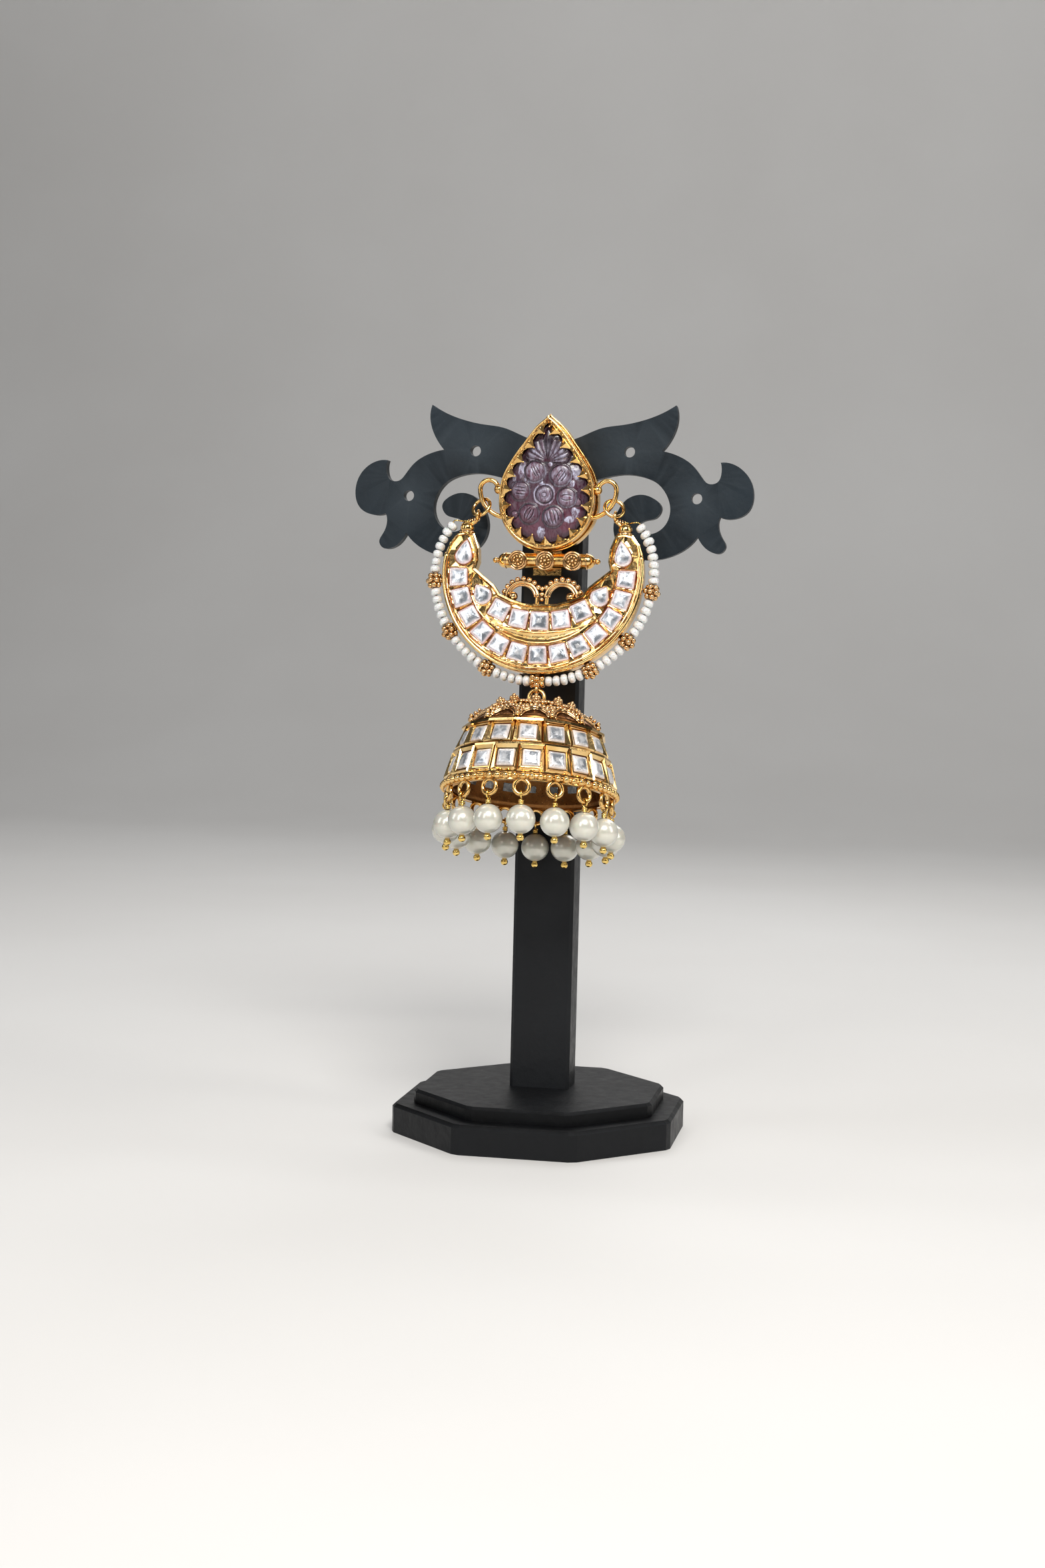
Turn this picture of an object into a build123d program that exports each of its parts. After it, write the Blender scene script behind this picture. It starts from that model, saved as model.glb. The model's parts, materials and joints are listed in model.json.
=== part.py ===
"""Jhumka ear drop pinned on its black display stand.

Frame: millimetres, +Z up, origin at the centre of the foot's underside. The front faces -Y, +X is to the right
seen from the front. The crescent hangs from the two jump rings on one hinge line, the bell from the crescent's hook.
"""

import math
import os

from build123d import *

os.makedirs("parts", exist_ok=True)

# ---------------------------------------------------------------- driving dimensions
# foot, upright and plate
BASE_FLAT, BASE_LOW_H = 60.0, 6.2
BASE_TOP_FLAT, BASE_TOP_H = 51.4, 3.0
POST_W, POST_D = 13.0, 9.0
POST_FRONT_Y = -1.85
POST_TOP_Z = 137.5
PLATE_BACK_Y, PLATE_T = -1.95, 2.65
PLATE_HOLE_R = 1.15

# stud: drop-shaped setting, its stone and the pin
STUD_Z = 134.8
STUD_R = 10.85
STUD_BACK_Y, STUD_FRONT_Y = -4.7, -10.0
STUD_SLOPE = 0.9
PIN_Z, PIN_R = 142.0, 0.45
CLUTCH_R, CLUTCH_L = 2.8, 4.6

# side loops and jump rings
LOOP_Y, LOOP_WIRE_R = -8.2, 0.5
JUMP_R, JUMP_WIRE_R = 2.05, 0.38
JUMP_TURN, JUMP_LEAN = 25.0, 30.0

# barrel under the setting
BARREL_Z, BARREL_Y, BARREL_R, BARREL_L = 122.3, -8.0, 1.6, 17.6
ROSETTE_R, ROSETTE_X = 2.05, 5.8

# hinge lines: crescent on the jump rings, bell on the hook
HINGE_X, HINGE_Y, HINGE_Z = 14.6, -9.2, 131.6
PIVOT_Y, PIVOT_Z = -15.3, 95.3
BELL_TILT = 14.5

# crescent, measured from the centre of its outer circle
CR_DROP = 12.3
CR_R = 21.3
CR_T = 3.0
EYE_R, EYE_WIRE_R = 1.0, 0.28
COLLAR_X, COLLAR_Z, COLLAR_R = 16.8, 9.5, 1.45
OUT_ROW_R, OUT_PITCH, OUT_STONE = 17.75, 14.35, 3.65
CELL_GAP, CELL_DEPTH = 0.07, 1.1

# strand of seed pearls round the crescent
SEED_R, SEED_L, THREAD_R = 1.15, 1.65, 0.22
GOLD_L = 3.0

# bell, measured up from its rim plane
BELL_H = 22.4
RIM_R, RIM_H = 17.65, 1.6
LOW_BOTTOM, LOW_TOP = (17.3, 1.6), (15.7, 7.5)
UP_BOTTOM, UP_TOP = (15.3, 7.9), (13.4, 12.7)
CAP_R, CAP_Z, CAP_TOP = 13.9, 13.2, 19.6
LOW_N, LOW_PHASE = 20, 10.2
UP_N, UP_PHASE = 16, 6.0
TOP_RING_R, TOP_RING_WIRE = 1.6, 0.4

# pearls on their headpins under the rim
DROPS, DROP_PHASE, DROP_RING_AT = 16, 5.0, 17.1
DROP_RING_R, DROP_RING_WIRE = 1.5, 0.44
DROP_RING_Z = -1.4
PEARL_R, PEARL_BORE, PEARL_DROP = 2.95, 0.42, 4.95
EYE_PIN_R, EYE_PIN_W = 0.19, 0.69
HEAD_R, HEAD_DROP = 0.74, 3.65

CR_LENGTH = math.hypot(HINGE_Y - PIVOT_Y, HINGE_Z - PIVOT_Z)
CR_TILT = math.degrees(math.atan2(HINGE_Y - PIVOT_Y, HINGE_Z - PIVOT_Z))
CR_Z = HINGE_Z - CR_DROP


# ---------------------------------------------------------------- helpers
def save(shape, name):
    """Writes one node."""
    export_step(shape, f"parts/{name}.step")


def front(x, z, y=0.0):
    """A sketch plane that looks from the front: its x is +X, its y is +Z, its normal is -Y."""
    return Plane(origin=(x, y, z), x_dir=(1, 0, 0), z_dir=(0, -1, 0))


def rod(a, b, r):
    """A straight round rod between two points."""
    a, b = Vector(*a), Vector(*b)
    return Plane(origin=a, z_dir=b - a) * Cylinder(
        r, (b - a).length, align=(Align.CENTER, Align.CENTER, Align.MIN)
    )


def ball(p, r):
    return Pos(*p) * Sphere(r)


def ring(p, axis, r, wire):
    """A closed wire ring round an axis."""
    return Plane(origin=p, z_dir=axis) * Torus(r, wire)


def smooth(points, start=None, end=None):
    """An edge through points, with its end directions when they matter."""
    if start is None:
        return Edge.make_spline([Vector(*p) for p in points])
    return Edge.make_spline(
        [Vector(*p) for p in points], tangents=[Vector(*start), Vector(*end)]
    )


def chain_face(edges):
    return Face(Wire(edges))


def swing(shape, tilt, y, z):
    """Swings a piece forward about a line along X."""
    return Pos(0, y, z) * Rot(-tilt, 0, 0) * Pos(0, -y, -z) * shape


def on_crescent(shape):
    return swing(shape, CR_TILT, HINGE_Y, HINGE_Z)


def fuse(parts):
    first, rest = parts[0], parts[1:]
    return first.fuse(*rest) if rest else first


def mirrored(shape):
    return mirror(shape, Plane.YZ)


# ---------------------------------------------------------------- stand
def stand_base():
    low = extrude(
        RegularPolygon(BASE_FLAT / 2, 8, major_radius=False, rotation=22.5),
        BASE_LOW_H,
    )
    low = chamfer(low.edges().filter_by(Axis.Z), 1.0)
    low = chamfer(low.faces().sort_by(Axis.Z)[-1].edges(), 0.7)
    top = Pos(0, 0, BASE_LOW_H) * extrude(
        RegularPolygon(BASE_TOP_FLAT / 2, 8, major_radius=False, rotation=22.5),
        BASE_TOP_H,
    )
    top = chamfer(top.edges().filter_by(Axis.Z), 1.0)
    top = chamfer(top.faces().sort_by(Axis.Z)[-1].edges(), 0.6)
    return low + top


def stand_post():
    z0 = BASE_LOW_H + BASE_TOP_H + 0.02
    post = Pos(0, POST_FRONT_Y + POST_D / 2, (z0 + POST_TOP_Z) / 2) * Box(
        POST_W, POST_D, POST_TOP_Z - z0
    )
    return chamfer(post.edges().filter_by(Axis.Z), 0.7)


def stand_plate():
    """Symmetric scroll plate: leaf tip, fishtail, lower lobe and a curl that turns back into the eye."""
    # Each run is (x, z) from cusp to cusp on the right-hand wing, the last one round the eye back to the middle.
    runs = [
        [(0, 147.6), (6.1, 148.6), (10.5, 150.4), (15, 151.1), (18, 151.7), (22, 153), (26.1, 155.2)],
        [(26.1, 155.2), (26.5, 152.3), (25.4, 148.6), (23.4, 145.7)],
        [(23.4, 145.7), (26.6, 144.8), (29.6, 143.0), (31.6, 140.6), (33.3, 139.0), (35.1, 139.3), (35.9, 141.0), (35.7, 143.4)],
        [(35.7, 143.4), (38.3, 143.1), (41.1, 141.1), (42.7, 136.9), (41.6, 133.2), (38.9, 131.8), (35.9, 132.1)],
        [(35.9, 132.1), (35.6, 130.0), (36.4, 127.8), (37.2, 126.0), (36.3, 124.7), (34.6, 124.7), (32.6, 126.0), (31.3, 128.0)],
        [(31.3, 128.0), (29.9, 126.3), (27.9, 124.8), (24.5, 123.4), (20.2, 123.0), (16.6, 124.2), (14.2, 126.8), (13.5, 130.0),
         (14.3, 133.0), (16.2, 135.6), (19.0, 136.6), (21.9, 135.8), (23.5, 133.9), (22.4, 131.8), (19.9, 131.1), (18.6, 129.9),
         (19.8, 128.6), (22.2, 128.6), (24.2, 130.0), (25.4, 133.0), (24.7, 136.3), (22.5, 139.0), (19.6, 140.3), (16.0, 140.8),
         (11.0, 140.0), (5.0, 138.4)],
    ]
    edges = [smooth(run) for run in runs]
    edges += [
        Edge.make_line((5.0, 138.4), (5.0, 127.0)),
        Edge.make_line((5.0, 127.0), (0, 127.0)),
        Edge.make_line((0, 127.0), (0, 147.6)),
    ]
    half = chain_face(edges)
    if half.normal_at().Z < 0:
        half = -half
    wing = extrude(front(0, 0, PLATE_BACK_Y) * half, PLATE_T)
    plate = wing + mirrored(wing)
    holes = [(s * x, z, PLATE_HOLE_R) for s in (-1, 1) for x, z in ((16.5, 145.5), (30.9, 135.9))]
    holes.append((0, PIN_Z, PIN_R + 0.15))
    for x, z, r in holes:
        plate -= front(x, z, PLATE_BACK_Y + 1) * Cylinder(
            r, PLATE_T + 4, align=(Align.CENTER, Align.CENTER, Align.MIN)
        )
    return plate


# ---------------------------------------------------------------- stud
# height above the wide part's centre, half width
DROP_SIDE = [(5.1, 10.15), (9.05, 8.1), (12.75, 5.45), (16.05, 2.85)]
DROP_TIP = 18.5


def drop_outline(inset):
    """Drop-shaped outline, moved inwards by inset: a round lower half and sides that close in a point."""
    r = STUD_R - inset
    side = []
    table = [(0.0, STUD_R), *DROP_SIDE, (DROP_TIP, 0.0)]
    for before, here, after in zip(table, table[1:], table[2:]):
        dz, dx = after[0] - before[0], after[1] - before[1]
        n = math.hypot(dz, dx)
        side.append((here[1] - inset * dz / n, here[0] + inset * dx / n))
    tip = (0.0, DROP_TIP - inset * 1.35)
    right = smooth([(r, 0), *side, tip], (0, 1), (-0.62, 0.78))
    left = smooth([tip, *[(-x, z) for x, z in reversed(side)], (-r, 0)], (-0.62, -0.78), (0, -1))
    bottom = Edge.make_three_point_arc((-r, 0), (0, -r), (r, 0))
    return Wire([right, left, bottom])


def drop_solid(inset_back, inset_front, y_back, y_front):
    back = front(0, STUD_Z, y_back) * Face(drop_outline(inset_back))
    ahead = front(0, STUD_Z, y_front) * Face(drop_outline(inset_front))
    return loft([back, ahead], ruled=True)


def side_loop():
    """Right-hand loop: over the top from its ball, then down to the wall."""
    cx, cz, r = 12.6, 137.2, 1.9
    ex, ez = 8.9, 131.3
    sx = cx + r
    big = ((sx - ex) ** 2 + (cz - ez) ** 2) / (2 * (sx - ex))
    start = (cx - r, LOOP_Y, cz)
    half = math.atan2(ez - cz, ex - (sx - big)) / 2
    over = Edge.make_three_point_arc(start, (cx, LOOP_Y, cz + r), (sx, LOOP_Y, cz))
    down = Edge.make_three_point_arc(
        (sx, LOOP_Y, cz),
        (sx - big + big * math.cos(half), LOOP_Y, cz + big * math.sin(half)),
        (ex, LOOP_Y, ez),
    )
    path = Wire([over, down])
    wire = sweep(Plane(origin=start, z_dir=(0, 0, 1)) * Circle(LOOP_WIRE_R), path=path)
    return wire + ball((10.45, LOOP_Y, 137.15), 1.05)


def stud_setting():
    cup = drop_solid(0.25, STUD_SLOPE, STUD_BACK_Y, STUD_FRONT_Y)
    pocket = drop_solid(1.75, 1.75, STUD_BACK_Y - 0.9, STUD_FRONT_Y - 1)
    cup -= pocket
    loop = side_loop()
    # Barrel with domed ends, finial balls and three rosettes, on a small tongue from the setting's back.
    half = BARREL_L / 2
    barrel = rod((-half, BARREL_Y, BARREL_Z), (half, BARREL_Y, BARREL_Z), BARREL_R)
    barrel += [ball((s * half, BARREL_Y, BARREL_Z), BARREL_R - 0.02) for s in (-1, 1)]
    barrel += [rod((s * half, BARREL_Y, BARREL_Z), (s * (half + 2.0), BARREL_Y, BARREL_Z), 0.3) for s in (-1, 1)]
    barrel += [ball((s * (half + 2.1), BARREL_Y, BARREL_Z), 0.6) for s in (-1, 1)]
    for x in (-ROSETTE_X, 0, ROSETTE_X):
        barrel += front(x, BARREL_Z, BARREL_Y - 1.0) * Cylinder(
            ROSETTE_R, 1.0, align=(Align.CENTER, Align.CENTER, Align.MIN)
        )
    tongue = Pos(0, -6.2, 122.45) * Box(6.0, 1.4, 6.3)
    return cup + loop + mirrored(loop) + barrel + tongue


def carved_stone():
    body = drop_solid(2.2, 2.2, STUD_BACK_Y - 1.1, STUD_FRONT_Y + 0.9)
    crown = drop_solid(2.2, 3.5, STUD_FRONT_Y + 0.9, STUD_FRONT_Y - 0.5)
    return body + crown


def ear_post():
    pin = rod((0, STUD_BACK_Y + 0.05, PIN_Z), (0, PLATE_BACK_Y + 0.1 + CLUTCH_L + 1.5, PIN_Z), PIN_R)
    clutch = rod((0, PLATE_BACK_Y + 0.1, PIN_Z), (0, PLATE_BACK_Y + 0.9, PIN_Z), CLUTCH_R)
    clutch += rod((0, PLATE_BACK_Y + 0.9, PIN_Z), (0, PLATE_BACK_Y + 0.1 + CLUTCH_L, PIN_Z), 1.7)
    return pin + clutch


def jump_ring():
    """Right-hand ring: threaded through the side loop, its lowest point on the hinge line."""
    turn, lean = math.radians(-JUMP_TURN), math.radians(-JUMP_LEAN)
    n = Vector(math.sin(turn) * math.cos(lean), math.cos(turn) * math.cos(lean), math.sin(lean))
    down = Vector(0, 0, -1) + n * n.Z
    down = down.normalized()
    centre = Vector(HINGE_X, HINGE_Y, HINGE_Z) - down * JUMP_R
    return ring(tuple(centre), tuple(n), JUMP_R, JUMP_WIRE_R)


# ---------------------------------------------------------------- crescent
# (x, z) from the crescent's centre, right-hand half, from the collar along the inner edge to the middle
INNER_EDGE = [(15.0, 8.2), (13.9, 5.2), (13.7, 2.5), (14.3, 0.7), (12.0, -1.4), (10.3, -2.8), (8.9, -4.6), (6.3, -5.8), (3.1, -6.6), (0.0, -6.7)]
OUTER_TIP = [(18.6, 8.2), (20.1, 6.1), (20.85, 4.0)]
# stones of the inner row beside its middle one: x, z, turn, size
INNER_SQUARES = [(0.0, -10.0, 0.0), (4.5, -9.75, 8.0), (8.8, -7.95, 26.0)]
OUTER_PEAR = (103.7, 17.35, 3.6, 5.4)
INNER_PEAR = (12.5, -4.3, 4.0, 4.7)
STRAND_MIDDLE = -22.62


def crescent_point(x, z, y=0.0):
    return (x, HINGE_Y + y, CR_Z + z)


def square_prism(x, z, turn, size, depth, y, bevel=0.0):
    """A square cell or stone: its back at y, growing forward by depth."""
    block = (
        Pos(*crescent_point(x, z, y - depth / 2))
        * Rot(0, -turn, 0)
        * Box(size, depth, size)
    )
    return chamfer(block.faces().sort_by(Axis.Y)[0].edges(), bevel) if bevel else block


def pear_prism(x, z, turn, width, length, depth, y, bevel=0.0):
    """A pear cell or stone, its point turned away from straight up by turn degrees."""
    r = width / 2
    tip = (0, length - r)
    bow = (r * 0.78, (length - r) * 0.5)
    edges = [
        Edge.make_three_point_arc((-r, 0), (0, -r), (r, 0)),
        Edge.make_three_point_arc((r, 0), bow, tip),
        Edge.make_three_point_arc(tip, (-bow[0], bow[1]), (-r, 0)),
    ]
    face = Face(Wire(edges))
    if face.normal_at().Z < 0:
        face = -face
    flat = front(0, 0, 0) * face
    if bevel:
        small = face.scale(1 - 2 * bevel / width)
        body = extrude(flat, depth - bevel) + loft(
            [Pos(0, -(depth - bevel), 0) * flat, front(0, 0, -depth) * small], ruled=True
        )
    else:
        body = extrude(flat, depth)
    return Pos(*crescent_point(x, z, y)) * Rot(0, turn, 0) * body


def outer_cells():
    """Places of the outer row: x, z and the turn that squares each cell to the circle."""
    return [
        (
            OUT_ROW_R * math.sin(math.radians(k * OUT_PITCH)),
            -OUT_ROW_R * math.cos(math.radians(k * OUT_PITCH)),
            k * OUT_PITCH,
        )
        for k in range(-6, 7)
    ]


def outer_stones(grow, depth, y, bevel=0.0):
    stones = [square_prism(x, z, a, OUT_STONE + grow, depth, y, bevel) for x, z, a in outer_cells()]
    a, r, w, length = OUTER_PEAR
    for s in (-1, 1):
        x, z = s * r * math.sin(math.radians(a)), -r * math.cos(math.radians(a)) - 0.9
        stones.append(pear_prism(x, z, -s * 9.0, w + grow, length + grow, depth, y, bevel))
    return stones


def inner_stones(grow, depth, y, bevel=0.0):
    stones = []
    for x, z, a in INNER_SQUARES:
        for s in (-1, 1) if x else (1,):
            stones.append(square_prism(s * x, z, s * a, 3.75 + grow, depth, y, bevel))
    px, pz, w, length = INNER_PEAR
    for s in (-1, 1):
        stones.append(pear_prism(s * (px - 0.9), pz - 0.9, s * 38.0, w + grow, length + grow, depth, y, bevel))
    return stones


def crescent_frame():
    tip_a, tip_b = OUTER_TIP[-1], OUTER_TIP[0]
    edges = [Edge.make_three_point_arc((-tip_a[0], tip_a[1]), (0, -CR_R), (tip_a[0], tip_a[1]))]
    line = [*reversed(OUTER_TIP), *INNER_EDGE]
    line += [(-x, z) for x, z in reversed(line[:-1])]
    for a, b in zip(line, line[1:]):
        edges.append(Edge.make_line(a, b))
    face = Face(Wire(edges))
    if face.normal_at().Z < 0:
        face = -face
    body = extrude(front(0, CR_Z, HINGE_Y + CR_T / 2) * face, CR_T)
    body = chamfer(body.faces().sort_by(Axis.Y)[0].edges(), 0.7)
    front_y = -CR_T / 2
    for cell in outer_stones(CELL_GAP * 2, CELL_DEPTH + 1, front_y + CELL_DEPTH):
        body -= cell
    for cell in inner_stones(CELL_GAP * 2, CELL_DEPTH + 1, front_y + CELL_DEPTH):
        body -= cell
    extra = []
    # double arch on the inner edge, with a ball at each outer foot
    for s in (-1, 1):
        mid = crescent_point(s * 4.2, -5.2)
        arch = ring(mid, (0, 1, 0), 3.2, 0.45)
        keep = Pos(mid[0], mid[1], mid[2] + 3) * Box(10, 4, 6)
        extra.append(arch & keep)
        extra.append(rod(crescent_point(s * 1.0, -5.2), crescent_point(s * 1.0, -7.2), 0.45))
        extra.append(rod(crescent_point(s * 7.4, -5.2), crescent_point(s * 7.4, -6.2), 0.45))
        extra.append(ball(crescent_point(s * 6.25, -4.95), 0.92))
        # collar, neck and eye
        extra.append(ball(crescent_point(s * COLLAR_X, COLLAR_Z), COLLAR_R))
        extra.append(rod(crescent_point(s * COLLAR_X, 7.6), crescent_point(s * COLLAR_X, 8.55), 1.6))
        eye_z = CR_DROP
        foot = (s * (HINGE_X + 0.25), eye_z - EYE_R)
        extra.append(rod(crescent_point(s * COLLAR_X, COLLAR_Z), crescent_point(*foot), 0.42))
        extra.append(ring((s * HINGE_X, HINGE_Y, HINGE_Z), (1, 0, 0), EYE_R, EYE_WIRE_R))
    # hook below the lowest point, behind the middle bead of the strand
    pivot = CR_DROP - CR_LENGTH
    hook = rod(crescent_point(0, -CR_R + 0.8), crescent_point(0, pivot + 0.8), 0.5)
    hook += ring(crescent_point(0, pivot), (1, 0, 0), 0.95, 0.33)
    hook += rod(crescent_point(-GOLD_L / 2, STRAND_MIDDLE), crescent_point(GOLD_L / 2, STRAND_MIDDLE), 1.2)
    extra.append(hook)
    return body + extra


# strand, as (degrees from straight down, radius) of its turning points, right-hand side
STRAND = [(0.0, -STRAND_MIDDLE), (12.0, 22.85), (60.0, 23.05), (88.0, 23.25), (104.0, 23.1), (113.0, 22.7), (121.0, 22.0), (126.0, 21.2)]
# seed pearls between the gold beads, from the middle outwards
SEEDS_RIGHT = [5, 4, 5, 8]
SEEDS_LEFT = [5, 5, 5, 7]


def strand_point(a):
    """Where the thread runs at a degrees from straight down."""
    for (a0, r0), (a1, r1) in zip(STRAND, STRAND[1:]):
        if a <= a1:
            break
    r = r0 + (r1 - r0) * (a - a0) / (a1 - a0)
    return r * math.sin(math.radians(a)), -r * math.cos(math.radians(a))


def strand_beads(counts):
    """Angles of the seed pearls and gold beads, walked outwards along the thread."""
    seeds, golds = [], []
    a, radius = 0.0, 22.8
    step = lambda mm: math.degrees(mm / radius)
    a += step(GOLD_L / 2)
    for k, count in enumerate(counts):
        for _ in range(count):
            a += step(SEED_L / 2)
            seeds.append(a)
            a += step(SEED_L / 2)
        if k < len(counts) - 1:
            a += step(GOLD_L / 2 + 0.05)
            golds.append(a)
            a += step(GOLD_L / 2 + 0.05)
    return seeds, golds


def seed_strand(counts, side):
    seeds, golds = strand_beads(counts)
    stops = sorted([(a, "seed") for a in seeds] + [(a, "gold") for a in golds])
    parts, last = [], None
    shape = Cylinder(SEED_R, SEED_L - 0.06)
    shape = fillet(shape.edges().filter_by(GeomType.CIRCLE), 0.62)
    for a, kind in stops:
        x, z = strand_point(a)
        xb, zb = strand_point(a + 1)
        here = crescent_point(side * x, z)
        if kind == "seed":
            parts.append(Plane(origin=here, z_dir=(side * (xb - x), 0, zb - z)) * shape)
        if last:
            parts.append(rod(last, here, THREAD_R))
        last = here
    # the thread's end goes round the collar's foot
    parts.append(rod(last, crescent_point(side * 19.2, 9.9), THREAD_R))
    return fuse(parts)


def gold_beads():
    core = Cylinder(0.95, GOLD_L)
    grains = []
    for s in (-1, 1):
        for k in range(6):
            a = math.radians(60 * k + 30)
            grains.append(ball((0.84 * math.cos(a), 0.84 * math.sin(a), s * 0.68), 0.6))
    bead = core + grains
    bead -= Cylinder(THREAD_R + 0.12, GOLD_L + 2)
    beads = []
    for counts, side in ((SEEDS_RIGHT, 1), (SEEDS_LEFT, -1)):
        for a in strand_beads(counts)[1]:
            x, z = strand_point(a)
            xb, zb = strand_point(a + 1)
            place = Plane(
                origin=crescent_point(side * x, z),
                x_dir=(0, 1, 0),
                z_dir=(side * (xb - x), 0, zb - z),
            )
            beads.append(place * bead)
    return beads


# ---------------------------------------------------------------- bell, modelled round its own axis, rim plane at z = 0
def on_bell(shape):
    return Pos(0, PIVOT_Y, PIVOT_Z) * Rot(-BELL_TILT, 0, 0) * Pos(0, 0, -BELL_H) * shape


def polygon_band(low, high, sides, phase):
    """A ring of flats whose middles face phase degrees right of the front."""
    turn = phase - 90.0 + 180.0 / sides
    faces = [
        Pos(0, 0, z) * RegularPolygon(r, sides, major_radius=False, rotation=turn)
        for r, z in (low, high)
    ]
    return loft(faces, ruled=True)


def stone_row(low, high, sides, phase, width, height, depth, lift, bevel=0.0):
    """Stones or cells set on a ring of flats: lift is how far the back lies below the flat, depth their thickness."""
    mid_r, mid_z = (low[0] + high[0]) / 2, (low[1] + high[1]) / 2
    slope = math.degrees(math.atan2(low[0] - high[0], high[1] - low[1]))
    block = Pos(0, -depth / 2, 0) * Box(width, depth, height)
    if bevel:
        block = chamfer(block.faces().sort_by(Axis.Y)[0].edges(), bevel)
    block = Pos(0, -(mid_r - lift), mid_z) * Rot(-slope, 0, 0) * block
    return [Rot(0, 0, phase + 360.0 / sides * k) * block for k in range(sides)]


def drop_places():
    """Angle right of the front for each small ring under the rim."""
    return [DROP_PHASE + 360.0 / DROPS * k for k in range(DROPS)]


LOW_STONE, UP_STONE = (3.6, 3.4), (3.6, 3.55)


def bell_dome():
    rim = Pos(0, 0, RIM_H / 2) * Cylinder(RIM_R, RIM_H)
    rim += Pos(0, 0, 0.8) * Torus(RIM_R, 0.45)
    low = polygon_band(LOW_BOTTOM, (LOW_TOP[0], LOW_TOP[1] + 0.05), LOW_N, LOW_PHASE)
    rail = Pos(0, 0, 7.65) * Cylinder(16.15, 0.7)
    up = polygon_band((UP_BOTTOM[0], UP_BOTTOM[1] - 0.05), (UP_TOP[0], UP_TOP[1] + 0.05), UP_N, UP_PHASE)
    cap_rail = Pos(0, 0, 12.95) * Cylinder(CAP_R + 0.2, 0.7)
    rails = [chamfer(r.edges(), 0.25) for r in (rail, cap_rail)]
    arc = Edge.make_three_point_arc((CAP_R, 0, CAP_Z), (9.7, 0, 16.7), (1.5, 0, CAP_TOP - 0.1))
    cap = revolve(
        Face(
            Wire(
                [
                    arc,
                    Edge.make_line((1.5, 0, CAP_TOP - 0.1), (1.5, 0, CAP_TOP + 0.15)),
                    Edge.make_line((1.5, 0, CAP_TOP + 0.15), (0, 0, CAP_TOP + 0.15)),
                    Edge.make_line((0, 0, CAP_TOP + 0.15), (0, 0, CAP_Z - 0.1)),
                    Edge.make_line((0, 0, CAP_Z - 0.1), (CAP_R, 0, CAP_Z - 0.1)),
                    Edge.make_line((CAP_R, 0, CAP_Z - 0.1), (CAP_R, 0, CAP_Z)),
                ]
            )
        ),
        Axis.Z,
    )
    outside = rim + low + rails + up + cap
    # stone cells, cut before the hollow
    for cell in stone_row(LOW_BOTTOM, LOW_TOP, LOW_N, LOW_PHASE, LOW_STONE[0] + 0.12, LOW_STONE[1] + 0.12, 3.0, 0.6):
        outside -= cell
    for cell in stone_row(UP_BOTTOM, UP_TOP, UP_N, UP_PHASE, UP_STONE[0] + 0.12, UP_STONE[1] + 0.12, 3.0, 0.6):
        outside -= cell
    hollow_arc = Edge.make_three_point_arc((12.1, 0, 12.6), (8.3, 0, 15.6), (1.5, 0, 18.0))
    hollow = revolve(
        Face(
            Wire(
                [
                    Edge.make_line((0, 0, -1), (16.2, 0, -1)),
                    Edge.make_line((16.2, 0, -1), (16.2, 0, 1.3)),
                    Edge.make_line((16.2, 0, 1.3), (14.2, 0, 7.6)),
                    Edge.make_line((14.2, 0, 7.6), (12.1, 0, 12.6)),
                    hollow_arc,
                    Edge.make_line((1.5, 0, 18.0), (0, 0, 18.0)),
                    Edge.make_line((0, 0, 18.0), (0, 0, -1)),
                ]
            )
        ),
        Axis.Z,
    )
    shell = outside - hollow
    shell += ring((0, 0, BELL_H - TOP_RING_R), (0, 1, 0), TOP_RING_R, TOP_RING_WIRE)
    small = []
    for a in drop_places():
        t = math.radians(a)
        out = (math.sin(t), -math.cos(t), 0)
        small.append(ring((out[0] * DROP_RING_AT, out[1] * DROP_RING_AT, DROP_RING_Z), out, DROP_RING_R, DROP_RING_WIRE))
    return shell + small


def hanging_points():
    """Lowest wire point of each tilted small ring, and the level direction of its wire there."""
    tilt = math.radians(BELL_TILT)

    def turn(v):
        # the bell's own frame to the stand's
        return Vector(
            v.X,
            v.Y * math.cos(tilt) + v.Z * math.sin(tilt),
            -v.Y * math.sin(tilt) + v.Z * math.cos(tilt),
        )

    places = []
    for a in drop_places():
        t = math.radians(a)
        out = Vector(math.sin(t), -math.cos(t), 0)
        centre = out * DROP_RING_AT + Vector(0, 0, DROP_RING_Z - BELL_H)
        centre = turn(centre) + Vector(0, PIVOT_Y, PIVOT_Z)
        axis = turn(out)
        down = (Vector(0, 0, -1) + axis * axis.Z).normalized()
        low = centre + down * DROP_RING_R
        level = axis.cross(down)
        places.append((low, math.degrees(math.atan2(level.Y, level.X))))
    return places


def headpin():
    """Pin with its eye round a wire along X through the origin."""
    eye = ring((0, 0, 0), (1, 0, 0), EYE_PIN_W, EYE_PIN_R)
    wrap = Pos(0, 0, -1.5) * Cylinder(0.6, 0.7)
    pin = rod((0, 0, -EYE_PIN_W), (0, 0, -PEARL_DROP - HEAD_DROP), 0.3)
    head = ball((0, 0, -PEARL_DROP - HEAD_DROP), HEAD_R)
    return eye + wrap + pin + head


def pearl():
    return Sphere(PEARL_R) - Cylinder(PEARL_BORE, 10)


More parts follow.
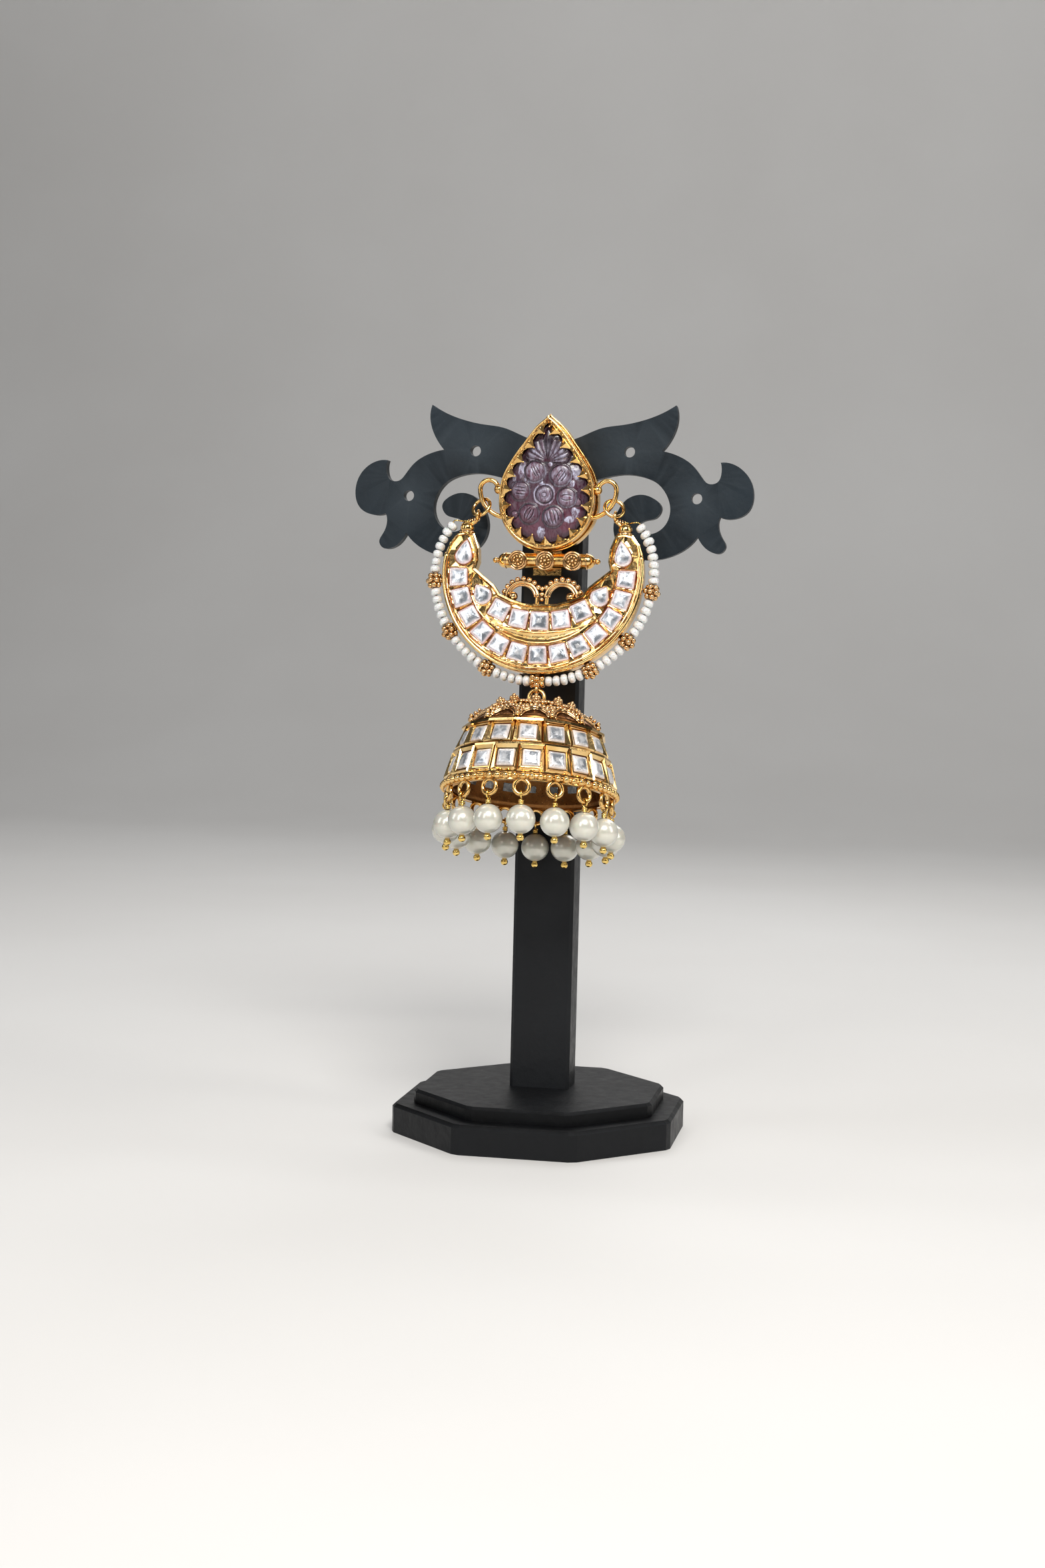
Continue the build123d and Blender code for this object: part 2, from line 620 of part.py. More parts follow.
# ---------------------------------------------------------------- write every node
def main():
    save(stand_base(), "stand_base")
    save(stand_post(), "stand_post")
    save(stand_plate(), "stand_plate")
    save(stud_setting(), "stud_setting")
    save(carved_stone(), "carved_stone")
    save(ear_post(), "ear_post")
    right = jump_ring()
    save(right, "jump_ring_right")
    save(mirrored(right), "jump_ring_left")

    save(on_crescent(crescent_frame()), "crescent_frame")
    stone_y = -CR_T / 2 + CELL_DEPTH - 0.06
    save(Compound(children=[on_crescent(s) for s in outer_stones(0, 1.5, stone_y, 0.45)]), "crescent_outer_stones")
    save(Compound(children=[on_crescent(s) for s in inner_stones(0, 1.5, stone_y, 0.45)]), "crescent_inner_stones")
    save(on_crescent(seed_strand(SEEDS_RIGHT, 1)), "seed_pearls_right")
    save(on_crescent(seed_strand(SEEDS_LEFT, -1)), "seed_pearls_left")
    save(Compound(children=[on_crescent(b) for b in gold_beads()]), "gold_beads")

    save(on_bell(bell_dome()), "bell_dome")
    low = stone_row(LOW_BOTTOM, LOW_TOP, LOW_N, LOW_PHASE, *LOW_STONE, 1.1, 0.54, 0.4)
    up = stone_row(UP_BOTTOM, UP_TOP, UP_N, UP_PHASE, *UP_STONE, 1.1, 0.54, 0.4)
    save(Compound(children=[on_bell(s) for s in low]), "bell_lower_stones")
    save(Compound(children=[on_bell(s) for s in up]), "bell_upper_stones")

    pin, bead = headpin(), pearl()
    for k, (low_point, turn) in enumerate(hanging_points(), 1):
        place = Pos(*low_point) * Rot(0, 0, turn)
        save(place * pin, f"headpin_{k:02d}")
        save(place * Pos(0, 0, -PEARL_DROP) * bead, f"pearl_{k:02d}")
    print("crescent tilt", round(CR_TILT, 4), "length", round(CR_LENGTH, 4))


main()
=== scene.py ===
"""Looks of the jhumka earring on its stand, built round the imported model. Local work is in millimetres."""

import json
import math
import random

import bpy
from mathutils import Matrix, Vector, noise
from mathutils.geometry import delaunay_2d_cdt


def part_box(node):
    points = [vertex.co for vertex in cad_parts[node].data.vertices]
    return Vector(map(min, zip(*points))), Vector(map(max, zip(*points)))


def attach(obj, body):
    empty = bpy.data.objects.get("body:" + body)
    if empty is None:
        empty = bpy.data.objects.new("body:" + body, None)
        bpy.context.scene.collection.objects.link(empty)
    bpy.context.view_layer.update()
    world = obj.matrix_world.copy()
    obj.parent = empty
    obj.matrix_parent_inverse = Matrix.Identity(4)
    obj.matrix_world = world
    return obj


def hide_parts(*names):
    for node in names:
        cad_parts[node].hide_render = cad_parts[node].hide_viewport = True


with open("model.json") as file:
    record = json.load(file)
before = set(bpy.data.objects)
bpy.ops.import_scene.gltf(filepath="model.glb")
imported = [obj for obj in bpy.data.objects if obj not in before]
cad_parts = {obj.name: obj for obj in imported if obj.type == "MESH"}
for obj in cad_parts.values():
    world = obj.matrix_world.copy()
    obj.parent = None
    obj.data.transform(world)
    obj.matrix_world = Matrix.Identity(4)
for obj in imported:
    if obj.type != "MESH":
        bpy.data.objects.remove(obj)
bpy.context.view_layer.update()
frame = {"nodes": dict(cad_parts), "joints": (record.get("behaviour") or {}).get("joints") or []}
NODES = frame["nodes"]
RNG = random.Random(7)
MM = 0.001

# ------------------------------------------------------------------ frames of the three bodies
JOINTS = {j["name"]: j for j in frame["joints"]}
HINGE = Vector(JOINTS["crescent_swing"]["pos_m"]) * 1000
PIVOT = Vector(JOINTS["bell_swing"]["pos_m"]) * 1000
CR_TILT = math.atan2(HINGE.y - PIVOT.y, HINGE.z - PIVOT.z)
BELL_TILT = math.radians(14.5)
CR_DROP, BELL_H = 12.3, 22.4
STUD_Z = 134.8


def scale_mm():
    return Matrix.Scale(MM, 4)


AT_STAND = scale_mm()
AT_STUD = scale_mm() @ Matrix.Translation((0, 0, STUD_Z))
AT_CRESCENT = scale_mm() @ Matrix.Translation(HINGE) @ Matrix.Rotation(-CR_TILT, 4, "X") @ Matrix.Translation((0, 0, -CR_DROP))
AT_BELL = scale_mm() @ Matrix.Translation(PIVOT) @ Matrix.Rotation(-BELL_TILT, 4, "X") @ Matrix.Translation((0, 0, -BELL_H))


# ------------------------------------------------------------------ material tools
class Nodes:
    """Short names for building one material's nodes."""

    def __init__(self, name):
        self.material = bpy.data.materials.new(name)
        self.material.use_nodes = True
        self.tree = self.material.node_tree
        self.tree.nodes.clear()
        self.out = self.tree.nodes.new("ShaderNodeOutputMaterial")
        self.bsdf = self.tree.nodes.new("ShaderNodeBsdfPrincipled")
        self.link(self.bsdf.outputs["BSDF"], self.out.inputs["Surface"])
        self.coords = self.tree.nodes.new("ShaderNodeTexCoord").outputs["Object"]

    def link(self, a, b):
        self.tree.links.new(a, b)

    def set(self, **values):
        for key, value in values.items():
            self.bsdf.inputs[key.replace("_", " ")].default_value = value

    def feed(self, socket, source):
        self.link(source, self.bsdf.inputs[socket])

    def node(self, kind, **props):
        n = self.tree.nodes.new(kind)
        for key, value in props.items():
            setattr(n, key, value)
        return n

    def noise(self, per_mm, detail=3.0, rough=0.55, distortion=0.0, offset=(0, 0, 0), stretch=(1, 1, 1)):
        m = self.node("ShaderNodeMapping")
        m.inputs["Location"].default_value = offset
        m.inputs["Scale"].default_value = stretch
        self.link(self.coords, m.inputs["Vector"])
        n = self.node("ShaderNodeTexNoise")
        n.inputs["Scale"].default_value = per_mm * 1000
        n.inputs["Detail"].default_value = detail
        n.inputs["Roughness"].default_value = rough
        n.inputs["Distortion"].default_value = distortion
        self.link(m.outputs["Vector"], n.inputs["Vector"])
        return n.outputs["Fac"]

    def cells(self, per_mm, feature="F1", out="Distance", randomness=1.0):
        n = self.node("ShaderNodeTexVoronoi", feature=feature)
        n.inputs["Scale"].default_value = per_mm * 1000
        n.inputs["Randomness"].default_value = randomness
        self.link(self.coords, n.inputs["Vector"])
        return n.outputs[out]

    def ramp(self, source, *stops, ease="LINEAR"):
        """stops are (position, colour or grey)."""
        n = self.node("ShaderNodeValToRGB")
        n.color_ramp.interpolation = ease
        elements = n.color_ramp.elements
        while len(elements) < len(stops):
            elements.new(0.5)
        for element, (at, colour) in zip(elements, stops):
            element.position = at
            if not isinstance(colour, (tuple, list)):
                colour = (colour, colour, colour)
            element.color = (*colour[:3], 1)
        self.link(source, n.inputs["Fac"])
        return n.outputs["Color"]

    def mix(self, factor, a, b, blend="MIX"):
        n = self.node("ShaderNodeMix", data_type="RGBA", blend_type=blend)
        for value, socket in ((factor, n.inputs[0]), (a, n.inputs[6]), (b, n.inputs[7])):
            if isinstance(value, bpy.types.NodeSocket):
                self.link(value, socket)
            elif isinstance(value, (tuple, list)):
                socket.default_value = (*value[:3], 1)
            else:
                socket.default_value = value
        return n.outputs[2]

    def math(self, kind, a, b=0.0, clamp=False):
        n = self.node("ShaderNodeMath", operation=kind, use_clamp=clamp)
        for value, socket in ((a, n.inputs[0]), (b, n.inputs[1])):
            if isinstance(value, bpy.types.NodeSocket):
                self.link(value, socket)
            else:
                socket.default_value = value
        return n.outputs[0]

    def attribute(self, name, out="Fac"):
        return self.node("ShaderNodeAttribute", attribute_name=name).outputs[out]

    def hollow(self, distance_mm, samples=6):
        """1 on open surfaces, towards 0 in recesses."""
        n = self.node("ShaderNodeAmbientOcclusion", samples=samples)
        n.inputs["Distance"].default_value = distance_mm * MM
        return n.outputs["AO"]

    def bump(self, *layers):
        """layers are (height, depth in mm): chained into the surface normal."""
        normal = None
        for height, depth in layers:
            n = self.node("ShaderNodeBump")
            n.inputs["Strength"].default_value = 1.0
            n.inputs["Distance"].default_value = depth * MM
            self.link(height, n.inputs["Height"])
            if normal is not None:
                self.link(normal, n.inputs["Normal"])
            normal = n.outputs["Normal"]
        self.feed("Normal", normal)
        return normal


def gold(name, bright, deep, recess, rough=(0.16, 0.34), wave=0.02, wave_per_mm=0.35, grain=0.0015, reach=0.9):
    """Plated metal: colour drifts between bright and deep, recess darkens where it is hollow."""
    m = Nodes(name)
    drift = m.noise(0.22, 4, 0.6, 0.4)
    wear = m.noise(1.6, 5, 0.65, 0.2, (3, 1, 2))
    colour = m.mix(m.ramp(drift, (0.35, 0.0), (0.65, 1.0)), deep, bright)
    colour = m.mix(m.ramp(wear, (0.52, 0.0), (0.74, 0.4)), colour, tuple(min(1, c * 1.1) for c in bright))
    open_sky = m.hollow(reach)
    colour = m.mix(m.ramp(open_sky, (0.22, 1.0), (0.7, 0.0), ease="EASE"), colour, recess)
    m.feed("Base Color", colour)
    m.set(Metallic=1.0)
    r = m.ramp(m.noise(2.2, 4, 0.6, 0, (5, 5, 1)), (0.3, rough[0]), (0.7, rough[1]))
    tarnish = m.ramp(open_sky, (0.1, 0.3), (0.6, 0.0))
    m.feed("Roughness", m.math("ADD", r, tarnish, True))
    m.bump((m.noise(wave_per_mm, 2, 0.5, 0.2), wave), (m.noise(3.1, 3, 0.6, 0.6, (7, 2, 4), (1, 1, 0.3)), grain * 2.5), (m.noise(11, 3, 0.6), grain))
    return m.material


GOLD = gold("gold_burnished", (0.94, 0.63, 0.26), (0.8, 0.46, 0.14), (0.2, 0.065, 0.015), (0.09, 0.22), 0.025, 0.3)
GOLD_FOIL = gold("gold_foil", (0.96, 0.7, 0.33), (0.82, 0.51, 0.18), (0.34, 0.05, 0.025), (0.08, 0.2), 0.03, 0.45, reach=0.45)
GOLD_GRAIN = gold("gold_granulated", (0.87, 0.58, 0.3), (0.66, 0.38, 0.16), (0.07, 0.024, 0.009), (0.07, 0.17), 0.01, 1.1, reach=1.0)
GOLD_WIRE = gold("gold_wire", (0.97, 0.72, 0.26), (0.85, 0.55, 0.14), (0.25, 0.11, 0.02), (0.1, 0.22), 0.008, 1.4, reach=0.5)
# darkened copy of the gold for the inside of the bell and the cap's sunk fields: painted shade
GOLD_SHADED = gold("gold_painted_shade", (0.25, 0.11, 0.033), (0.15, 0.058, 0.018), (0.045, 0.015, 0.006), (0.24, 0.36), 0.012, 0.4, reach=2.0)


def black_stand(name, deep, bloom, speckle, edge_wear_and_highlight, gloss):
    """Satin black lacquer on a faintly hammered ground, with a cool bloom, and sharp edges painted lighter: rubbed wear
    together with a painted edge highlight.
    """
    m = Nodes(name)
    cloud = m.noise(0.05, 5, 0.62, 0.6)
    speck = m.noise(1.3, 4, 0.7, 0, (2, 7, 1))
    colour = m.mix(m.ramp(cloud, (0.36, 0.0), (0.68, 1.0)), deep, bloom)
    colour = m.mix(m.ramp(speck, (0.56, 0.0), (0.75, 0.4)), colour, speckle)
    # sharp edges are lighter: rubbed wear together with a painted edge highlight
    edge = m.node("ShaderNodeNewGeometry").outputs["Pointiness"]
    colour = m.mix(m.ramp(edge, (0.53, 0.0), (0.62, 0.5)), colour, edge_wear_and_highlight)
    m.feed("Base Color", colour)
    m.feed("Roughness", m.ramp(m.noise(0.35, 5, 0.65, 0.3, (1, 4, 2)), (0.3, 0.36), (0.72, 0.55)))
    m.set(Specular_IOR_Level=gloss, Coat_Weight=0.03, Coat_Roughness=0.25)
    m.bump((m.noise(0.22, 2, 0.5, 0.5), 0.16), (m.noise(1.4, 3, 0.6), 0.03), (m.noise(7, 2, 0.6), 0.004))
    return m.material


BLACK = black_stand("black_satin", (0.0014, 0.0015, 0.0018), (0.0035, 0.004, 0.005), (0.006, 0.007, 0.009), (0.02, 0.022, 0.025), 0.16)
PLATE = black_stand("blue_black_satin", (0.0018, 0.0036, 0.0058), (0.0062, 0.0115, 0.017), (0.014, 0.023, 0.032), (0.045, 0.058, 0.07), 0.14)


def foil_stone(name, rim, dark, light, blush):
    """Clear stone over crinkled foil: pale streaked edges round a cool dark middle with a painted highlight at its very
    centre, under a hard clear top.
    """
    m = Nodes(name)
    zone = m.attribute("zone")
    tone = m.attribute("tone")
    crinkle = m.noise(0.55, 3, 0.5, 0.7)
    streak = m.noise(2.1, 3, 0.6, 1.4, (4, 0, 2))
    centre = m.mix(m.ramp(crinkle, (0.38, 0.0), (0.64, 1.0), ease="EASE"), dark, light)
    centre = m.mix(m.ramp(m.noise(1.3, 4, 0.6, 1.2, (9, 1, 5)), (0.56, 0.0), (0.72, 0.7)), centre, (0.88, 0.9, 0.94))
    edge = m.mix(m.ramp(streak, (0.42, 0.0), (0.62, 1.0)), rim, (0.86, 0.83, 0.84))
    edge = m.mix(m.ramp(streak, (0.62, 0.0), (0.74, 0.55)), edge, (0.45, 0.42, 0.45))
    reach = m.math("ADD", zone, m.math("MULTIPLY", m.math("SUBTRACT", crinkle, 0.5), 0.5))
    share = m.ramp(reach, (0.55, 0.0), (0.8, 1.0), ease="EASE")
    colour = m.mix(share, centre, edge)
    # painted highlight: a near-white core laid into the colour at the middle of each stone
    core = m.math("ADD", zone, m.math("MULTIPLY", m.math("SUBTRACT", streak, 0.5), 0.5))
    colour = m.mix(m.ramp(core, (0.14, 0.95), (0.3, 0.0), ease="EASE"), colour, (0.93, 0.95, 0.98))
    outer = m.ramp(m.math("ADD", zone, m.math("MULTIPLY", tone, 0.1)), (0.93, 0.0), (1.0, 0.75))
    colour = m.mix(outer, colour, blush)
    m.feed("Base Color", colour)
    m.feed("Metallic", m.ramp(reach, (0.45, 0.6), (0.85, 0.2)))
    m.feed("Roughness", m.ramp(crinkle, (0.3, 0.12), (0.7, 0.28)))
    m.set(Coat_Weight=1.0, Coat_Roughness=0.02, Coat_IOR=1.6, Specular_IOR_Level=0.6)
    m.bump((crinkle, 0.05), (streak, 0.02))
    return m.material


STONE_PINK = foil_stone("foil_stone_blush", (0.64, 0.52, 0.55), (0.27, 0.3, 0.34), (0.66, 0.71, 0.78), (0.66, 0.36, 0.34))
STONE_CLEAR = foil_stone("foil_stone_clear", (0.66, 0.62, 0.61), (0.36, 0.39, 0.43), (0.86, 0.88, 0.92), (0.7, 0.5, 0.34))
# darkened copy of the stone finish for the foil backs seen inside the bell: painted shade
STONE_SHADED = foil_stone("foil_stone_shaded", (0.16, 0.13, 0.11), (0.09, 0.1, 0.11), (0.22, 0.24, 0.26), (0.14, 0.07, 0.03))


def plum_stone():
    """Carved translucent stone: rosy body darkened in its cuts and low parts with painted shade, frosted lilac on the
    high parts.
    """
    m = Nodes("plum_carved")
    rise = m.attribute("carve")
    frost = m.attribute("frost")
    patch = m.noise(0.2, 4, 0.6, 0.8)
    scratch = m.noise(1.9, 5, 0.7, 0.5, (0, 0, 0), (1, 1, 0.4))
    # the carve mark sets the colour: low spots go dark as painted shade in the cuts and grooves, high spots rosy
    body = m.ramp(rise, (0.0, (0.004, 0.0012, 0.004)), (0.2, (0.012, 0.003, 0.008)), (0.45, (0.058, 0.0115, 0.025)), (0.8, (0.17, 0.042, 0.068)))
    body = m.mix(m.ramp(patch, (0.38, 0.0), (0.62, 0.7)), body, (0.03, 0.01, 0.022))
    veil = m.math("MULTIPLY", m.ramp(scratch, (0.4, 0.06), (0.62, 1.0)), frost, True)
    colour = m.mix(veil, body, (0.5, 0.51, 0.66))
    m.feed("Base Color", colour)
    m.feed("Roughness", m.ramp(m.math("ADD", scratch, m.math("MULTIPLY", frost, 0.3)), (0.35, 0.2), (0.85, 0.5)))
    m.set(Specular_IOR_Level=0.4, Coat_Weight=0.3, Coat_Roughness=0.14, Subsurface_Weight=0.1, Subsurface_Scale=0.0012)
    m.bsdf.inputs["Subsurface Radius"].default_value = (1.0, 0.35, 0.5)
    m.bump((scratch, 0.02), (m.noise(0.9, 3, 0.6, 0.2, (3, 3, 3)), 0.06))
    return m.material


PLUM = plum_stone()


def pearl_material(name, base, shade, rough, lustre):
    """Nacre: soft body colour, satin skin with a sharper thin lustre on top."""
    m = Nodes(name)
    drift = m.noise(0.16, 3, 0.55, 0.3)
    rings = m.noise(1.5, 3, 0.6, 0.2, (0, 0, 4), (0.35, 0.35, 1.6))
    colour = m.mix(m.ramp(drift, (0.35, 0.0), (0.68, 1.0)), base, shade)
    colour = m.mix(m.ramp(rings, (0.4, 0.0), (0.8, 0.15), ease="EASE"), colour, tuple(min(1.0, c * 1.04) for c in base))
    m.feed("Base Color", colour)
    m.feed("Roughness", m.ramp(m.noise(0.4, 2, 0.5), (0.3, rough), (0.7, rough + 0.03)))
    m.set(Metallic=lustre, Specular_IOR_Level=0.75, Coat_Weight=0.6, Coat_Roughness=0.08, Coat_IOR=1.55, Subsurface_Weight=0.1, Subsurface_Scale=0.001)
    m.bump((m.noise(0.25, 1, 0.5, 0, (1, 1, 1)), 0.004), (rings, 0.0003))
    return m.material


PEARL = pearl_material("pearl_nacre", (0.7, 0.69, 0.61), (0.63, 0.62, 0.54), 0.24, 0.3)
SEED = pearl_material("seed_nacre", (0.77, 0.78, 0.77), (0.73, 0.74, 0.73), 0.2, 0.2)


# ------------------------------------------------------------------ mesh tools
def sphere_mesh(seg, rings):
    verts = [Vector((0, 0, 1))]
    for i in range(1, rings):
        t = math.pi * i / rings
        for k in range(seg):
            a = 2 * math.pi * k / seg
            verts.append(Vector((math.sin(t) * math.cos(a), math.sin(t) * math.sin(a), math.cos(t))))
    verts.append(Vector((0, 0, -1)))
    faces = [(0, 1 + k, 1 + (k + 1) % seg) for k in range(seg)]
    for i in range(rings - 2):
        a, b = 1 + i * seg, 1 + (i + 1) * seg
        faces += [(a + k, b + k, b + (k + 1) % seg, a + (k + 1) % seg) for k in range(seg)]
    last, end = 1 + (rings - 2) * seg, len(verts) - 1
    faces += [(end, last + (k + 1) % seg, last + k) for k in range(seg)]
    return verts, faces


GRAIN = sphere_mesh(12, 8)
BEAD = sphere_mesh(16, 10)
FINE = sphere_mesh(28, 18)


class Piece:
    """Vertices and faces gathered in a body's own millimetres, then placed once."""

    def __init__(self):
        self.verts, self.faces, self.smooth, self.marks = [], [], [], {}

    def add(self, verts, faces, smooth=True, **marks):
        start = len(self.verts)
        self.verts += [Vector(v) for v in verts]
        self.faces += [tuple(start + i for i in f) for f in faces]
        self.smooth += [smooth] * len(faces)
        for key, value in marks.items():
            values = self.marks.setdefault(key, {})
            for i in range(len(verts)):
                values[start + i] = value[i] if isinstance(value, (list, tuple)) else value

    def ball(self, centre, r, shape=GRAIN, squash=None):
        c = Vector(centre)
        verts = []
        for v in shape[0]:
            p = Vector(v) * r
            if squash:
                p = Vector((p.x * squash[0], p.y * squash[1], p.z * squash[2]))
            verts.append(p + c)
        self.add(verts, shape[1])

    def tube(self, points, r, seg=8, closed=False, ends=True):
        """A round tube through points; r may be one radius or one for each point."""
        pts = [Vector(p) for p in points]
        n = len(pts)
        radii = r if isinstance(r, (list, tuple)) else [r] * n
        verts, side = [], None
        for i, p in enumerate(pts):
            ahead = pts[(i + 1) % n] if closed or i < n - 1 else p
            behind = pts[i - 1] if closed or i else p
            t = (ahead - behind).normalized()
            if side is None:
                side = t.orthogonal().normalized()
            side = (side - t * side.dot(t)).normalized()
            up = t.cross(side)
            for k in range(seg):
                a = 2 * math.pi * k / seg
                verts.append(p + (side * math.cos(a) + up * math.sin(a)) * radii[i])
        faces = []
        for i in range(n if closed else n - 1):
            a, b = i * seg, ((i + 1) % n) * seg
            faces += [(a + k, a + (k + 1) % seg, b + (k + 1) % seg, b + k) for k in range(seg)]
        if not closed and ends:
            faces.append(tuple(reversed(range(seg))))
            faces.append(tuple(range((n - 1) * seg, n * seg)))
        self.add(verts, faces)

    def ring(self, centre, axis, r, wire, seg=28, sides=8):
        axis = Vector(axis).normalized()
        u = axis.orthogonal().normalized()
        v = axis.cross(u)
        c = Vector(centre)
        pts = [c + (u * math.cos(2 * math.pi * k / seg) + v * math.sin(2 * math.pi * k / seg)) * r for k in range(seg)]
        self.tube(pts, wire, sides, closed=True)

    def build(self, name, at, material, body, slot=None, replaces=()):
        mesh = bpy.data.meshes.new(name)
        mesh.from_pydata([at @ v for v in self.verts], [], self.faces)
        mesh.polygons.foreach_set("use_smooth", self.smooth)
        for key, values in self.marks.items():
            layer = mesh.attributes.new(key, "FLOAT", "POINT")
            layer.data.foreach_set("value", [float(values.get(i, 0.0)) for i in range(len(self.verts))])
        mesh.validate()
        mesh.update()
        mesh.materials.append(material)
        obj = bpy.data.objects.new(name, mesh)
        bpy.context.scene.collection.objects.link(obj)
        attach(obj, body)
        if replaces:
            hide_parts(*replaces)
        return obj


def smooth_path(points, steps):
    """Passes a smooth curve through the points."""
    pts = [Vector(p) for p in points]
    out = []
    for i in range(len(pts) - 1):
        p0, p1, p2, p3 = pts[max(0, i - 1)], pts[i], pts[i + 1], pts[min(len(pts) - 1, i + 2)]
        for k in range(steps):
            t = k / steps
            out.append(0.5 * ((2 * p1) + (p2 - p0) * t + (2 * p0 - 5 * p1 + 4 * p2 - p3) * t * t + (3 * p1 - p0 - 3 * p2 + p3) * t**3))
    return out + [pts[-1]]


def jitter(amount):
    return RNG.uniform(-amount, amount)


# ------------------------------------------------------------------ stud: rim, claws, stone
DROP_SIDE = [(5.1, 10.15), (9.05, 8.1), (12.75, 5.45), (16.05, 2.85)]
DROP_TIP, STUD_R = 18.5, 10.85


def drop_curve(count=400):
    """Closed drop outline (x, z), evenly spaced, starting at the bottom and running up the right side."""
    right = [(STUD_R * math.sin(a), -STUD_R * math.cos(a)) for a in [math.pi / 2 * k / 60 for k in range(60)]]
    table = [(0.0, STUD_R), *DROP_SIDE, (DROP_TIP, 0.0)]
    for k in range(81):
        z = DROP_TIP * k / 80
        for (z0, x0), (z1, x1) in zip(table, table[1:]):
            if z <= z1 + 1e-9:
                break
        i = table.index((z0, x0))
        before = table[i - 1] if i else (-z1, STUD_R * 0.9)
        after = table[i + 2] if i + 2 < len(table) else (z1 + 2, -2.0)
        t = (z - z0) / (z1 - z0)
        m0 = (x1 - before[1]) / (z1 - before[0]) * (z1 - z0) if i else 0.0
        m1 = (after[1] - x0) / (after[0] - z0) * (z1 - z0)
        x = (2 * t**3 - 3 * t**2 + 1) * x0 + (t**3 - 2 * t**2 + t) * m0 + (-2 * t**3 + 3 * t**2) * x1 + (t**3 - t**2) * m1
        right.append((max(x, 0.0), z))
    right[-1] = (0.0, DROP_TIP)
    loop = right + [(-x, z) for x, z in reversed(right[1:-1])]
    lengths, total = [0.0], 0.0
    for a, b in zip(loop, loop[1:] + loop[:1]):
        total += math.dist(a, b)
        lengths.append(total)
    out, j = [], 0
    closed = loop + loop[:1]
    for k in range(count):
        want = total * k / count
        while lengths[j + 1] < want:
            j += 1
        t = (want - lengths[j]) / max(1e-9, lengths[j + 1] - lengths[j])
        out.append((closed[j][0] + t * (closed[j + 1][0] - closed[j][0]), closed[j][1] + t * (closed[j + 1][1] - closed[j][1])))
    return out


DROP = drop_curve()


def drop_at(share, inset):
    """A point on the drop outline at share of the way round, moved in by inset, and its inward direction."""
    n = len(DROP)
    f = (share % 1.0) * n
    i = int(f)
    t = f - i
    a, b = DROP[i % n], DROP[(i + 1) % n]
    x, z = a[0] + t * (b[0] - a[0]), a[1] + t * (b[1] - a[1])
    p, q = DROP[(i - 3) % n], DROP[(i + 4) % n]
    dx, dz = q[0] - p[0], q[1] - p[1]
    length = math.hypot(dx, dz)
    inward = (-dz / length, dx / length)
    return x + inward[0] * inset, z + inward[1] * inset, inward


def drop_depth(x, z):
    """How far inside the drop outline a point lies, negative outside."""
    best, sign = 1e9, 1
    n = len(DROP)
    for k in range(0, n, 4):
        a, b = DROP[k], DROP[(k + 4) % n]
        ex, ez = b[0] - a[0], b[1] - a[1]
        t = max(0.0, min(1.0, ((x - a[0]) * ex + (z - a[1]) * ez) / (ex * ex + ez * ez)))
        px, pz = a[0] + t * ex - x, a[1] + t * ez - z
        d = px * px + pz * pz
        if d < best:
            best = d
            sign = 1 if ex * (z - a[1]) - ez * (x - a[0]) > 0 else -1
    return sign * math.sqrt(best)


def stud_trim():
    """Rolled rim, serrated claw collar and its granules."""
    rim = Piece()
    rim.tube([(*drop_at(k / 160, 1.0)[:1], -10.0, drop_at(k / 160, 1.0)[1]) for k in range(160)], 0.26, 8, closed=True)
    rim.tube([(drop_at(k / 160, 0.42)[0], -7.4, drop_at(k / 160, 0.42)[1]) for k in range(160)], 0.2, 6, closed=True)
    claws = 20
    for c in range(claws):
        mid = (c + 0.0) / claws
        half = 0.37 / claws
        # scalloped collar between two claws: from the rim down to the stone
        steps = 7
        rows = []
        for s in range(steps + 1):
            u = mid + (s / steps) / claws
            arch = abs(2 * s / steps - 1) ** 1.6
            outer = drop_at(u, 1.2)
            inner = drop_at(u, 1.75 + 0.75 * arch)
            rows.append([(outer[0], -9.95, outer[1]), ((outer[0] + inner[0]) / 2, -9.75 - 0.35 * arch, (outer[1] + inner[1]) / 2), (inner[0], -9.55 - 0.75 * arch, inner[1]), (inner[0], -9.2, inner[1])])
        verts = [p for row in rows for p in row]
        faces = []
        for s in range(steps):
            for j in range(3):
                a = s * 4 + j
                faces.append((a, a + 1, a + 5, a + 4))
            faces.append((s * 4 + 3, s * 4, s * 4 + 4, s * 4 + 7))
        faces += [(3, 2, 1, 0), tuple(steps * 4 + j for j in range(4))]
        rim.add(verts, faces, smooth=False)
        # faceted claw
        reach = 3.2 + jitter(0.12)
        lift = jitter(0.1)
        base_a, base_b = drop_at(mid - half, 1.5), drop_at(mid + half, 1.5)
        tip = drop_at(mid + jitter(0.0012), reach)
        ridge = drop_at(mid, 1.75)
        foot = drop_at(mid, 2.4)
        verts = [
            (base_a[0], -9.9, base_a[1]), (base_b[0], -9.9, base_b[1]), (tip[0], -10.7 + lift, tip[1]),
            (ridge[0], -10.8 + lift, ridge[1]), (base_a[0], -9.2, base_a[1]), (base_b[0], -9.2, base_b[1]), (foot[0], -9.6, foot[1]),
        ]
        rim.add(verts, [(0, 3, 2), (3, 1, 2), (0, 1, 3), (4, 5, 1, 0), (0, 2, 6, 4), (2, 1, 5, 6), (4, 6, 5)], smooth=False)
        rim.ball((tip[0], -10.62 + lift, tip[1]), 0.2)
        g = drop_at(mid + 0.5 / claws, 1.35)
        rim.ball((g[0], -10.15, g[1]), 0.27)
    rim.build("stud_claws", AT_STUD, GOLD, "stand", "gold")


HEART = (-0.4, 1.2)
PETALS = [(-2.05, 4.75, 2.5), (3.4, 4.05, 2.5), (4.8, -0.55, 2.3), (1.95, -4.6, 2.45), (-3.1, -4.0, 2.4), (-5.1, 0.7, 2.3)]
